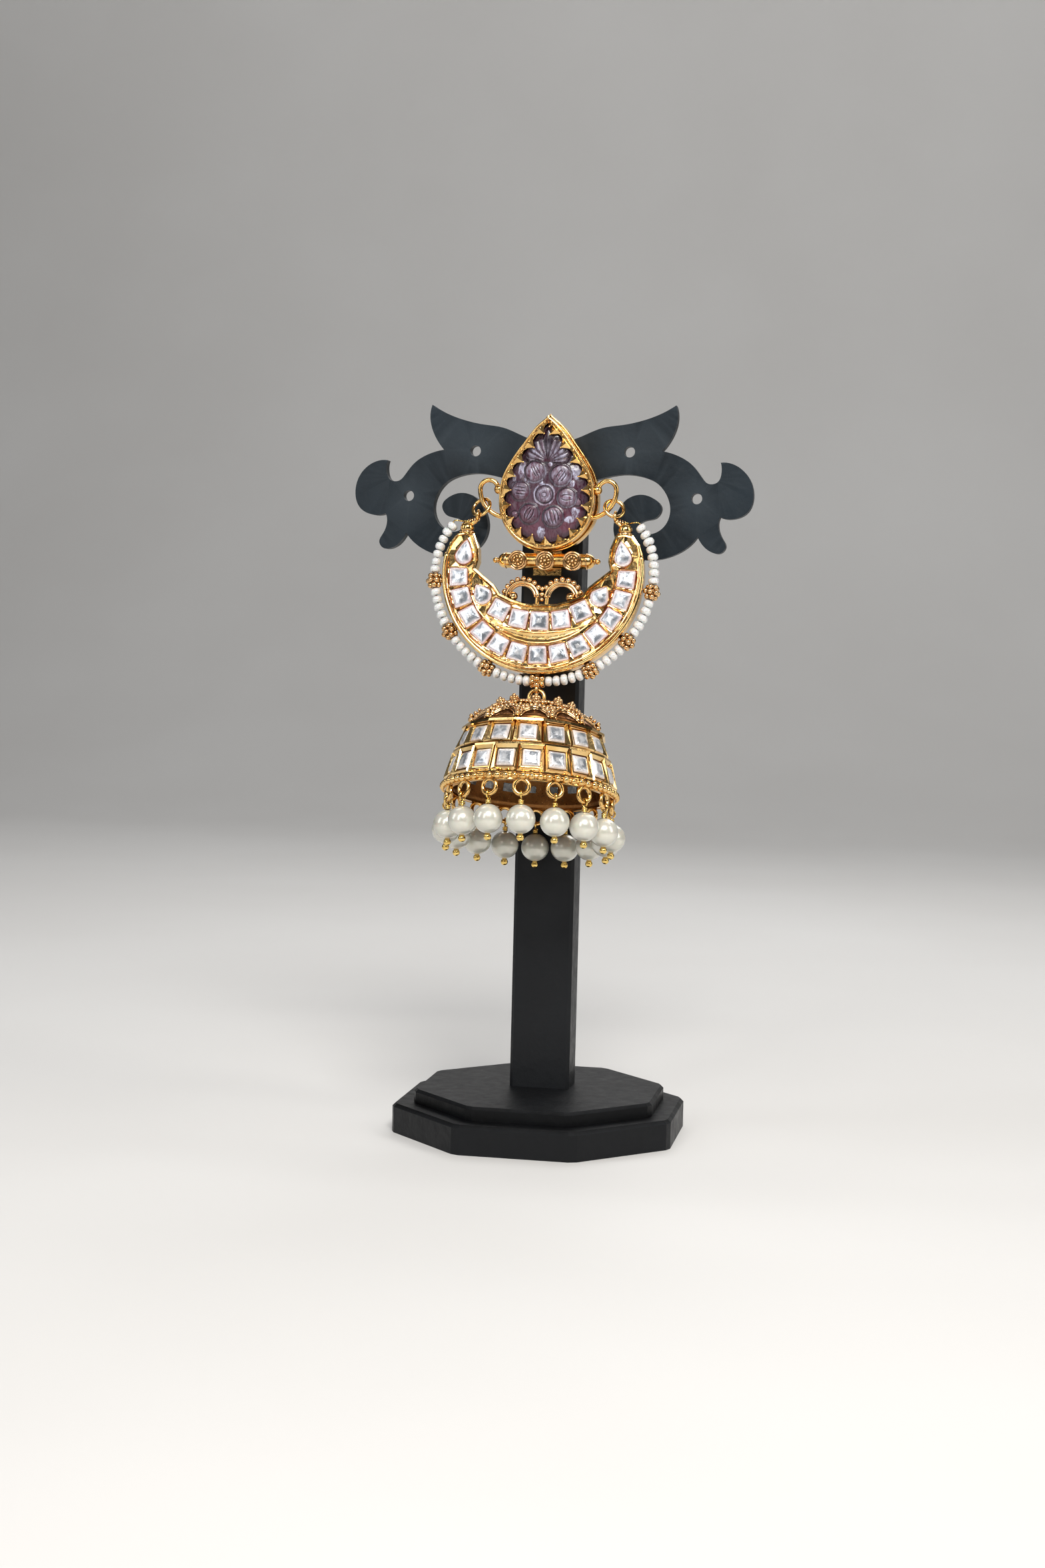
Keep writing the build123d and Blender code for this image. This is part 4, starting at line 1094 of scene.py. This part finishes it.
def granulated_bead(piece, centre, along, turn=0.0):
    """Flowers of granules heaped on a core, round the direction along."""
    along = Vector(along).normalized()
    u = Vector((0, -1, 0))
    v = along.cross(u).normalized()
    c = Vector(centre)
    for shift, radius, count, phase, size in ((-0.98, 0.92, 5, 0.0, 0.6), (0.0, 1.3, 6, 0.5, 0.62), (0.98, 0.92, 5, 0.4, 0.6)):
        for k in range(count):
            a = 2 * math.pi * (k + phase) / count + turn
            piece.ball(c + along * (shift + jitter(0.05)) + (u * math.cos(a) + v * math.sin(a)) * radius, size + jitter(0.04), BEAD)
    for shift in (-1.36, 1.36):
        piece.ring(c + along * shift, along, 0.55, 0.18, 16, 6)
    piece.ball(c, 1.12, FINE)


def strand():
    seeds = Piece()
    golds = Piece()
    thread = Piece()
    for side, counts in SEEDS.items():
        a = math.degrees(GOLD_L / 2 / 22.8)
        step = lambda mm: math.degrees(mm / 22.8)
        route = [(0.0, 0.0, -22.62)]
        for k, count in enumerate(counts):
            for _ in range(count):
                a += step(SEED_L / 2)
                x, z = strand_point(a)
                xb, zb = strand_point(a + 1)
                centre = Vector((side * x, jitter(0.08), z))
                direction = Vector((side * (xb - x) + jitter(0.035), jitter(0.06), zb - z + jitter(0.035))).normalized()
                verts, faces = bead_shape(1.13 + jitter(0.07), SEED_L - 0.08 + jitter(0.07))
                spin = direction.to_track_quat("Z", "Y").to_matrix()
                wobble = (1 + jitter(0.04), 1 + jitter(0.04))
                seeds.add([centre + spin @ Vector((v.x * wobble[0], v.y * wobble[1], v.z)) for v in verts], faces)
                route.append(tuple(centre))
                a += step(SEED_L / 2)
            if k < len(counts) - 1:
                a += step(GOLD_L / 2 + 0.05)
                x, z = strand_point(a)
                xb, zb = strand_point(a + 1)
                granulated_bead(golds, (side * x, 0, z), (side * (xb - x), 0, zb - z), RNG.random())
                route.append((side * x, 0, z))
                a += step(GOLD_L / 2 + 0.05)
        # the thread's end runs up beside the collar and wraps its foot
        lx, _, lz = route[-1]
        hx = side * 16.8
        route += [(lx - side * 0.35, -0.2, lz + 1.0), (side * 19.0, -0.7, 11.0)]
        for k in range(14):
            t = -0.5 + k * 0.75
            route.append((hx + side * 0.75 * math.cos(t), -0.75 * math.sin(t), 11.0 - 0.045 * k))
        thread.tube(smooth_path(route[1:], 4), 0.13, 6)
    granulated_bead(golds, (0, 0, -22.62), (1, 0, 0), 0.3)
    seeds.build("seed_pearl_strand", AT_CRESCENT, SEED, "crescent", "seed_pearl", ["seed_pearls_left", "seed_pearls_right"])
    golds.build("granulated_beads", AT_CRESCENT, GOLD_GRAIN, "crescent", "gold", ["gold_beads"])
    thread.build("strand_wire", AT_CRESCENT, GOLD_WIRE, "crescent", "yellow_gold")


# ------------------------------------------------------------------ bell
LOW_BOTTOM, LOW_TOP, LOW_N, LOW_PHASE = (17.3, 1.6), (15.7, 7.5), 20, 10.2
UP_BOTTOM, UP_TOP, UP_N, UP_PHASE = (15.3, 7.9), (13.4, 12.7), 16, 6.0
CAP_R, CAP_Z, CAP_TOP = 13.9, 13.2, 19.6


def band_place(bottom, top, angle):
    """place(u, v, h): u across the flat, v up it from its middle, h out of it."""
    mid_r, mid_z = (bottom[0] + top[0]) / 2, (bottom[1] + top[1]) / 2
    slope = math.atan2(bottom[0] - top[0], top[1] - bottom[1])
    a = math.radians(angle)
    out = Vector((math.sin(a), -math.cos(a), 0))
    side = Vector((math.cos(a), math.sin(a), 0))
    up = Vector((0, 0, math.cos(slope))) - out * math.sin(slope)
    normal = out * math.cos(slope) + Vector((0, 0, math.sin(slope)))
    origin = out * mid_r + Vector((0, 0, mid_z))
    return lambda u, v, h: origin + side * u + up * v + normal * h


def bell_rows():
    frames = Piece()
    for name, bottom, top, count, phase, width, height in (
        ("lower", LOW_BOTTOM, LOW_TOP, LOW_N, LOW_PHASE, 3.75, 3.85),
        ("upper", UP_BOTTOM, UP_TOP, UP_N, UP_PHASE, 3.75, 3.75),
    ):
        stones = Piece()
        slope = math.hypot(bottom[0] - top[0], top[1] - bottom[1])
        half = math.tan(math.pi / count)
        b_low, b_high = bottom[0] * half, top[0] * half
        v_low, v_high = -slope / 2 + 0.02, slope / 2 - 0.02
        w, h = width / 2, height / 2
        for k in range(count):
            angle = phase + 360 / count * k
            place = band_place(bottom, top, angle)
            j = [jitter(0.06) for _ in range(24)]
            outer = [(-b_low, v_low), (b_low, v_low), (b_high, v_high), (-b_high, v_high)]
            crest = [(-b_low + 0.2 + j[0], v_low + 0.28 + j[1]), (b_low - 0.2 + j[2], v_low + 0.28 + j[3]), (b_high - 0.2 + j[4], v_high - 0.28 + j[5]), (-b_high + 0.2 + j[6], v_high - 0.28 + j[7])]
            lip = [(-w - 0.2 + j[8] / 2, -h - 0.2 + j[9] / 2), (w + 0.2 + j[10] / 2, -h - 0.2 + j[11] / 2), (w + 0.2 + j[12] / 2, h + 0.2 + j[13] / 2), (-w - 0.2 + j[14] / 2, h + 0.2 + j[15] / 2)]
            inner = [(-w, -h), (w, -h), (w, h), (-w, h)]
            rows = [(outer, [0.3] * 4), (crest, [0.66 + j[16 + i] for i in range(4)]), (lip, [0.2 + j[20 + i] * 0.6 for i in range(4)]), (inner, [0.22] * 4), (inner, [-0.6] * 4)]
            base = [[place(u, v, h2) for (u, v), h2 in zip(points, lifts)] for points, lifts in rows]
            back = [place(u, v, -0.45) for u, v in outer]
            verts = [p for row in base for p in row] + back
            faces = []
            for r in range(4):
                faces += [(r * 4 + i, r * 4 + (i + 1) % 4, (r + 1) * 4 + (i + 1) % 4, (r + 1) * 4 + i) for i in range(4)]
            faces += [(20 + (i + 1) % 4, (i + 1) % 4, i, 20 + i) for i in range(4)]
            faces += [(16 + (i + 1) % 4, 20 + (i + 1) % 4, 20 + i, 16 + i) for i in range(4)]
            frames.add(verts, faces, smooth=False)
            outline = [(-w + 0.03, -h + 0.03), (w - 0.03, -h + 0.03), (w - 0.03, h - 0.03), (-w + 0.03, h - 0.03)]
            cut_stone(stones, outline, lambda u, v, hh, place=place: place(u, v, hh + 0.02), 0.68, RNG.random() ** 2, CUT_PROFILE)
        stones.build(f"bell_{name}_kundan", AT_BELL, STONE_CLEAR, "bell", "foil_stone", [f"bell_{name}_stones"])
    # faceted rails under, between and over the rows
    for count, phase, profile in (
        (LOW_N, LOW_PHASE, ((16.9, 1.25), (17.75, 1.5), (17.5, 2.0), (16.8, 2.1))),
        (LOW_N, LOW_PHASE, ((15.5, 7.1), (16.2, 7.38), (16.2, 7.86), (15.45, 8.2), (15.0, 8.0))),
        (UP_N, UP_PHASE, ((13.2, 12.35), (14.75, 12.7), (14.65, 13.2), (13.6, 13.45), (13.0, 13.2))),
    ):
        m = len(profile)
        rings = []
        for k in range(count):
            a = math.radians(phase + 360 / count * (k - 0.5))
            grow = 1 / math.cos(math.pi / count)
            shift = jitter(0.05)
            rings.append([Vector(((r * grow + shift) * math.sin(a), -(r * grow + shift) * math.cos(a), z + jitter(0.06))) for r, z in profile])
        verts = [v for ring in rings for v in ring]
        faces = []
        for k in range(count):
            a, b = k * m, ((k + 1) % count) * m
            faces += [(a + i, b + i, b + (i + 1) % m, a + (i + 1) % m) for i in range(m)]
        frames.add(verts, faces, smooth=False)
    frames.build("bell_cell_frames", AT_BELL, GOLD_FOIL, "bell", "gold")


def cap_surface(r):
    """Height of the cap's arc at radius r."""
    p0, p1, p2 = (CAP_R, CAP_Z), (9.7, 16.7), (1.5, CAP_TOP - 0.1)
    ax, ay = p0
    bx, by = p1
    cx, cy = p2
    d = 2 * (ax * (by - cy) + bx * (cy - ay) + cx * (ay - by))
    ux = ((ax * ax + ay * ay) * (by - cy) + (bx * bx + by * by) * (cy - ay) + (cx * cx + cy * cy) * (ay - by)) / d
    uy = ((ax * ax + ay * ay) * (cx - bx) + (bx * bx + by * by) * (ax - cx) + (cx * cx + cy * cy) * (bx - ax)) / d
    big = math.hypot(ax - ux, ay - uy)
    return uy + math.sqrt(max(0.0, big * big - (r - ux) ** 2))


def on_cap(angle, r, out=0.0):
    """A point on the cap at angle and radius, raised out along its slope."""
    z = cap_surface(r)
    dz = (cap_surface(r + 0.05) - cap_surface(r - 0.05)) / 0.1 if r > 1.6 else -0.2
    n = math.hypot(1, dz)
    nr, nz = -dz / n, 1 / n
    a = math.radians(angle)
    rr = r + nr * out
    return Vector((rr * math.sin(a), -rr * math.cos(a), z + nz * out))


def bell_cap():
    p, ridges, fields = Piece(), Piece(), Piece()
    arches, phase = 12, 10.2
    pitch = 360 / arches
    for k in range(arches):
        mid = phase + pitch * k
        steps = 18
        outer_pts, inner_pts = [], []
        for s in range(steps + 1):
            t = s / steps
            rise = math.sin(math.pi * t) ** 0.6
            outer_pts.append(on_cap(mid + (t - 0.5) * pitch * 0.96, 13.5 - 2.9 * rise, 0.26))
            inner_pts.append(on_cap(mid + (t - 0.5) * pitch * 0.8, 13.5 - 2.25 * rise, 0.2))
        ridges.tube(outer_pts, [0.3 + 0.14 * math.sin(math.pi * s / steps) for s in range(steps + 1)], 8)
        ridges.tube(inner_pts, 0.17, 6)
        # sunk field below the arch, in darkened gold: painted shade
        low, top = [], []
        for s in range(steps + 1):
            t = s / steps
            rise = math.sin(math.pi * t) ** 0.6
            a = mid + (t - 0.5) * pitch * 0.8
            low.append((a, 13.62))
            top.append((a, 13.62 - 2.2 * rise - 0.02))
        shell = []
        for out in (0.1, -0.25):
            for row in (low, top):
                shell += [on_cap(a, r, out) for a, r in row]
        n = steps + 1
        faces = []
        for s in range(steps):
            faces.append((s, s + 1, n + s + 1, n + s))
            faces.append((2 * n + s, 3 * n + s, 3 * n + s + 1, 2 * n + s + 1))
            faces.append((s + 1, s, 2 * n + s, 2 * n + s + 1))
            faces.append((n + s, n + s + 1, 3 * n + s + 1, 3 * n + s))
        faces += [(0, n, 3 * n, 2 * n), (n - 1, 3 * n - 1, 4 * n - 1, 2 * n - 1)]
        fields.add(shell, faces)
        # heaped granules at the joint of two arches
        joint = mid + pitch / 2
        for r, side, size, lift in (
            (13.15, 0.0, 0.66, 0.5), (12.35, -1.9, 0.52, 0.42), (12.35, 1.9, 0.52, 0.42), (12.75, 0.0, 0.46, 1.15),
            (11.6, 0.0, 0.56, 0.5), (11.45, -3.2, 0.44, 0.4), (11.45, 3.2, 0.44, 0.4), (12.0, 0.0, 0.42, 1.1),
            (10.85, -2.0, 0.5, 0.45), (10.85, 2.0, 0.5, 0.45), (10.6, -5.6, 0.42, 0.4), (10.6, 5.6, 0.42, 0.4), (11.2, 0.0, 0.36, 1.2),
        ):
            p.ball(on_cap(joint + side, r, lift), size + jitter(0.03))
        for side in (-9.0, -4.5, 0.0, 4.5, 9.0):
            p.ball(on_cap(mid + side, 9.95 + abs(side) * 0.06, 0.42), 0.47 + jitter(0.03))
    # rosettes: cones of wire rings topped with granules
    for k in range(10):
        angle, r, size = 10.2 + 36 * k, 7.35, 1.42
        centre = on_cap(angle, r, 0.15)
        axis = ((on_cap(angle, r, 1.25) - centre).normalized() + Vector((0, 0, 0.5))).normalized()
        u = axis.orthogonal().normalized()
        v = axis.cross(u)
        for grow, up, wire in ((1.0, 0.1, 0.24), (0.8, 0.42, 0.2), (0.6, 0.74, 0.2)):
            ridges.ring(centre + axis * up, axis, size * grow, wire, 28, 8)
        p.ball(centre - axis * 0.1, size * 0.8, FINE)
        for j in range(9):
            a = 2 * math.pi * j / 9
            p.ball(centre + axis * 0.15 + (u * math.cos(a) + v * math.sin(a)) * (size + 0.5), 0.46 + jitter(0.03))
        for j in range(5):
            a = 2 * math.pi * j / 5 + 0.3
            p.ball(centre + axis * 1.08 + (u * math.cos(a) + v * math.sin(a)) * size * 0.4, 0.4)
        p.ball(centre + axis * 1.5, 0.42)
    # the crown round the ring's foot
    for r, z, wire in ((3.5, 19.05, 0.3), (2.6, 19.45, 0.3), (1.9, 19.8, 0.26)):
        ridges.ring((0, 0, z), (0, 0, 1), r, wire, 32)
    for count, r, z, size in ((16, 4.1, 18.85, 0.48), (12, 3.05, 19.5, 0.42)):
        for k in range(count):
            a = 2 * math.pi * k / count
            p.ball((r * math.cos(a), r * math.sin(a), z), size)
    for k in range(8):
        a = 2 * math.pi * (k + 0.5) / 8
        p.ball((1.55 * math.cos(a), 1.55 * math.sin(a), 20.1), 0.36)
    p.build("cap_granules", AT_BELL, GOLD_GRAIN, "bell", "gold")
    ridges.build("cap_arches", AT_BELL, GOLD_GRAIN, "bell", "gold")
    fields.build("cap_shade_fields", AT_BELL, GOLD_SHADED, "bell", "gold")


def bell_rims():
    p = Piece()
    count = 64
    for k in range(count):
        a = 2 * math.pi * k / count
        r = 17.85 + jitter(0.04)
        p.ball((r * math.sin(a), -r * math.cos(a), 0.72 + jitter(0.04)), 0.74 + jitter(0.03), BEAD)
    for r, z, w in ((17.3, 0.1, 0.22), (17.45, 1.5, 0.2)):
        p.ring((0, 0, z), (0, 0, 1), r, w, 96, 6)
    p.build("bell_beaded_rim", AT_BELL, GOLD, "bell", "gold")


def bell_inside():
    """Silvery foil backs that show as small windows inside the bell, drawn in a darkened copy of the stone finish:
    painted shade.
    """
    p = Piece()
    for (bottom, top, count, phase, depth) in ((LOW_BOTTOM, LOW_TOP, LOW_N, LOW_PHASE, -1.62), (UP_BOTTOM, UP_TOP, UP_N, UP_PHASE, -1.42)):
        for k in range(count):
            place = band_place(bottom, top, phase + 360 / count * k)
            w, h = 1.15 + jitter(0.1), 0.8 + jitter(0.1)
            front_pts = [place(u, v, depth) for u, v in ((-w, -h), (w, -h), (w, h), (-w, h))]
            back_pts = [place(u, v, depth + 0.5) for u, v in ((-w, -h), (w, -h), (w, h), (-w, h))]
            p.add(front_pts + back_pts, [(3, 2, 1, 0), (4, 5, 6, 7)] + [((i + 1) % 4, 4 + (i + 1) % 4, 4 + i, i) for i in range(4)], False, zone=0.5, tone=0.3)
    p.build("bell_shaded_foils", AT_BELL, STONE_SHADED, "bell", "foil_stone")


def bell_shade_lining():
    """Liner for the inside of the bell in a darkened, duller gold: painted shade."""
    inner = [(16.12, 0.5), (16.1, 1.3), (14.1, 7.6), (12.0, 12.6), (10.3, 14.3), (8.0, 15.7), (5.0, 17.0), (1.5, 17.85)]
    outer = [(16.35, 0.5), (16.35, 1.35), (14.35, 7.7), (12.2, 12.75), (10.45, 14.5), (8.1, 15.95), (5.05, 17.25), (1.5, 18.1)]
    ring = inner + list(reversed(outer))
    seg, m = 72, len(ring)
    p = Piece()
    verts = []
    for k in range(seg):
        a = 2 * math.pi * k / seg
        for r, z in ring:
            ripple = 0.05 * math.sin(a * LOW_N) if r > 13 else 0.0
            verts.append(((r + ripple) * math.sin(a), -(r + ripple) * math.cos(a), z))
    faces = []
    for k in range(seg):
        a, b = k * m, ((k + 1) % seg) * m
        faces += [(a + i, b + i, b + (i + 1) % m, a + (i + 1) % m) for i in range(m)]
    p.add(verts, faces)
    p.build("bell_shade_lining", AT_BELL, GOLD_SHADED, "bell", "gold")


# ------------------------------------------------------------------ pearls and their pins
def drop_points():
    """World mm place where each headpin hangs, and the level direction of the ring wire there."""
    turn = Matrix.Rotation(-BELL_TILT, 3, "X")
    out_list = []
    for k in range(16):
        a = math.radians(5.0 + 22.5 * k)
        out = Vector((math.sin(a), -math.cos(a), 0))
        centre = turn @ (out * 17.1 + Vector((0, 0, -1.4 - BELL_H))) + PIVOT
        axis = turn @ out
        down = (Vector((0, 0, -1)) + axis * axis.z).normalized()
        low = centre + down * 1.5
        level = axis.cross(down)
        out_list.append((low, math.atan2(level.y, level.x)))
    return out_list


def headpin_piece(place, k):
    """Open eye, turns of wrap and a ball end; place turns local mm into world mm."""
    p = Piece()
    wire = 0.19
    side = 1 if k % 2 else -1
    eye = []
    for j in range(29):
        a = math.radians(-70 + 320 * j / 28)
        eye.append((0.08 * (j / 28 - 0.5), side * 0.69 * math.cos(a), 0.69 * math.sin(a) * (1.0 if math.sin(a) > 0 else 1.12)))
    path = [(0.0, 0.0, -2.2), (0.0, 0.02, -1.5), (0.0, side * 0.08, -1.05)] + list(eye)
    wrap = []
    for j in range(36):
        a = 2 * math.pi * 2.6 * j / 35 + (2.4 if k % 2 else 0.6)
        wrap.append((0.4 * math.cos(a), 0.4 * math.sin(a), -1.08 - 0.84 * j / 35))
    p.tube([place @ Vector(v) for v in path], wire, 8)
    p.tube([place @ Vector(v) for v in wrap], wire, 8)
    p.tube([place @ Vector((0, 0, z)) for z in (-1.3, -2.4, -8.1)], 0.26, 8)
    p.add([place @ (Vector(v) * 0.76 + Vector((0, 0, -8.6))) for v in FINE[0]], FINE[1])
    p.tube([place @ Vector((0.38 * math.cos(2 * math.pi * j / 14), 0.38 * math.sin(2 * math.pi * j / 14), -7.93)) for j in range(14)], 0.14, 6, closed=True)
    return p


def pearl_piece(centre, k):
    """A round pearl with a drilled bore dimpled at both poles."""
    p = Piece()
    r, seg, rows = 2.96, 40, 26
    bore = math.asin(0.42 / r)
    verts, faces = [], []
    squeeze = 1 + jitter(0.008)
    for i in range(rows + 1):
        t = bore + (math.pi - 2 * bore) * i / rows
        for j in range(seg):
            a = 2 * math.pi * j / seg
            verts.append(centre + Vector((r * math.sin(t) * math.cos(a) * squeeze, r * math.sin(t) * math.sin(a), r * math.cos(t))))
    for i in range(rows):
        faces += [(i * seg + j, (i + 1) * seg + j, (i + 1) * seg + (j + 1) % seg, i * seg + (j + 1) % seg) for j in range(seg)]
    # the bore's wall joins the two poles
    faces += [((j + 1) % seg, rows * seg + (j + 1) % seg, rows * seg + j, j) for j in range(seg)]
    p.add(verts, faces)
    return p


def drops():
    for k, (low, turn) in enumerate(drop_points(), 1):
        place = Matrix.Translation(low) @ Matrix.Rotation(turn, 4, "Z")
        headpin_piece(place, k).build(f"drop_pin_{k:02d}", scale_mm(), GOLD_WIRE, "bell", "yellow_gold", [f"headpin_{k:02d}"])
        lo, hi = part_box(f"pearl_{k:02d}")
        centre = (Vector(lo) + Vector(hi)) * 500
        pearl_piece(centre, k).build(f"drop_pearl_{k:02d}", scale_mm(), PEARL, "bell", "pearl", [f"pearl_{k:02d}"])


# ------------------------------------------------------------------ stand details
def dress_cad():
    """Finish of the exact pieces that stay as they are."""
    finish = {
        "stand_base": BLACK, "stand_post": BLACK, "stand_plate": PLATE, "stud_setting": GOLD, "ear_post": GOLD_WIRE,
        "jump_ring_left": GOLD, "jump_ring_right": GOLD, "crescent_frame": GOLD, "bell_dome": GOLD,
    }
    for name, material in finish.items():
        mesh = NODES[name].data
        mesh.materials.clear()
        mesh.materials.append(material)


def stage():
    mesh = bpy.data.meshes.new("floor")
    r = 3.2
    profile = [(-3.0, 0.0)] + [(0.75 + 0.5 * math.sin(a), 0.5 - 0.5 * math.cos(a)) for a in [math.pi / 2 * k / 12 for k in range(13)]] + [(1.25, 2.2)]
    verts = [(x, y, z) for y, z in profile for x in (-r, r)]
    faces = [(2 * i, 2 * i + 1, 2 * i + 3, 2 * i + 2) for i in range(len(profile) - 1)]
    mesh.from_pydata(verts, [], faces)
    mesh.polygons.foreach_set("use_smooth", [True] * len(faces))
    m = Nodes("pale_paper")
    m.feed("Base Color", m.mix(m.ramp(m.noise(0.004, 3), (0.4, 0.0), (0.7, 1.0)), (0.63, 0.622, 0.61), (0.665, 0.66, 0.65)))
    m.set(Roughness=0.75)
    mesh.materials.append(m.material)
    floor = bpy.data.objects.new("floor", mesh)
    bpy.context.scene.collection.objects.link(floor)


def area(name, at, look, size, watts, colour=(1, 1, 1), tall=None):
    light = bpy.data.lights.new(name, "AREA")
    light.shape = "RECTANGLE"
    light.size, light.size_y = size, tall or size
    light.energy = watts
    light.color = colour
    obj = bpy.data.objects.new(name, light)
    bpy.context.scene.collection.objects.link(obj)
    obj.location = at
    obj.rotation_euler = (Vector(look) - Vector(at)).to_track_quat("-Z", "Y").to_euler()
    return obj


def lights():
    world = bpy.data.worlds.new("studio")
    world.use_nodes = True
    bpy.context.scene.world = world
    tree = world.node_tree
    tree.nodes.clear()
    out = tree.nodes.new("ShaderNodeOutputWorld")
    back = tree.nodes.new("ShaderNodeBackground")
    coord = tree.nodes.new("ShaderNodeTexCoord")
    split = tree.nodes.new("ShaderNodeSeparateXYZ")
    ramp = tree.nodes.new("ShaderNodeValToRGB")
    ramp.color_ramp.elements[0].position = 0.0
    ramp.color_ramp.elements[0].color = (0.1, 0.095, 0.09, 1)
    ramp.color_ramp.elements[1].position = 1.0
    ramp.color_ramp.elements[1].color = (0.75, 0.77, 0.8, 1)
    mid = ramp.color_ramp.elements.new(0.42)
    mid.color = (0.2, 0.2, 0.205, 1)
    tree.links.new(coord.outputs["Generated"], split.inputs[0])
    tree.links.new(split.outputs["Z"], ramp.inputs["Fac"])
    tree.links.new(ramp.outputs["Color"], back.inputs["Color"])
    back.inputs["Strength"].default_value = 0.17
    # what the camera sees past the floor is plain grey, paler upwards; the light itself stays low
    seen = tree.nodes.new("ShaderNodeBackground")
    sky = tree.nodes.new("ShaderNodeValToRGB")
    sky.color_ramp.elements[0].color = (0.13, 0.128, 0.125, 1)
    sky.color_ramp.elements[1].position = 0.3
    sky.color_ramp.elements[1].color = (0.36, 0.355, 0.35, 1)
    tree.links.new(split.outputs["Z"], sky.inputs["Fac"])
    tree.links.new(sky.outputs["Color"], seen.inputs["Color"])
    path = tree.nodes.new("ShaderNodeLightPath")
    both = tree.nodes.new("ShaderNodeMixShader")
    tree.links.new(path.outputs["Is Camera Ray"], both.inputs["Fac"])
    tree.links.new(back.outputs["Background"], both.inputs[1])
    tree.links.new(seen.outputs["Background"], both.inputs[2])
    tree.links.new(both.outputs["Shader"], out.inputs["Surface"])
    area("key", (0.14, -0.48, 0.5), (0, -0.01, 0.11), 0.24, 4.1, (1.0, 0.97, 0.93), 0.18)
    area("strip", (-0.2, -0.6, 0.32), (0, 0, 0.11), 0.08, 0.55, (1.0, 0.98, 0.95), 0.36)
    area("fill", (-0.6, -0.3, 0.38), (0, 0, 0.1), 0.22, 0.75, (0.92, 0.95, 1.0), 0.45)
    area("side", (0.55, -0.16, 0.34), (0, 0, 0.1), 0.16, 0.9, (1.0, 0.96, 0.9), 0.45)
    area("back", (0.05, 0.4, 0.5), (0, 0, 0.1), 0.5, 1.4, (1, 1, 1), 0.3)
    area("front_floor", (0.0, -1.5, 1.2), (0, -1.9, 0.0), 1.6, 7.0, (1, 1, 1), 0.4)
    area("backdrop", (0.0, 0.3, 1.25), (0, 1.2, 0.5), 1.6, 7.0, (1, 1, 1), 0.4)


def camera():
    cam = bpy.data.cameras.new("camera")
    cam.sensor_width = 36.0
    cam.sensor_fit = "AUTO"
    cam.lens = 50.28
    cam.clip_start = 0.01
    obj = bpy.data.objects.new("camera", cam)
    bpy.context.scene.collection.objects.link(obj)
    yaw, pitch, roll = (math.radians(v) for v in (-10.74, -3.51, 1.376))
    fw = Vector((math.sin(yaw) * math.cos(pitch), math.cos(yaw) * math.cos(pitch), math.sin(pitch)))
    r = Vector((math.cos(yaw), -math.sin(yaw), 0))
    u = r.cross(fw)
    r2 = r * math.cos(roll) + u * math.sin(roll)
    u2 = u * math.cos(roll) - r * math.sin(roll)
    m = Matrix((r2, u2, -fw)).transposed().to_4x4()
    m.translation = Vector((82.3, -462.9, 103.6)) * MM
    obj.matrix_world = m
    bpy.context.scene.camera = obj



camera()
dress_cad()
stud_trim()
carved_stone()
barrel_trim()
crescent_face()
arch_trim()
strand()
bell_rows()
bell_cap()
bell_rims()
bell_shade_lining()
bell_inside()
drops()
stage()
lights()
bpy.context.scene.view_settings.view_transform = "Standard"
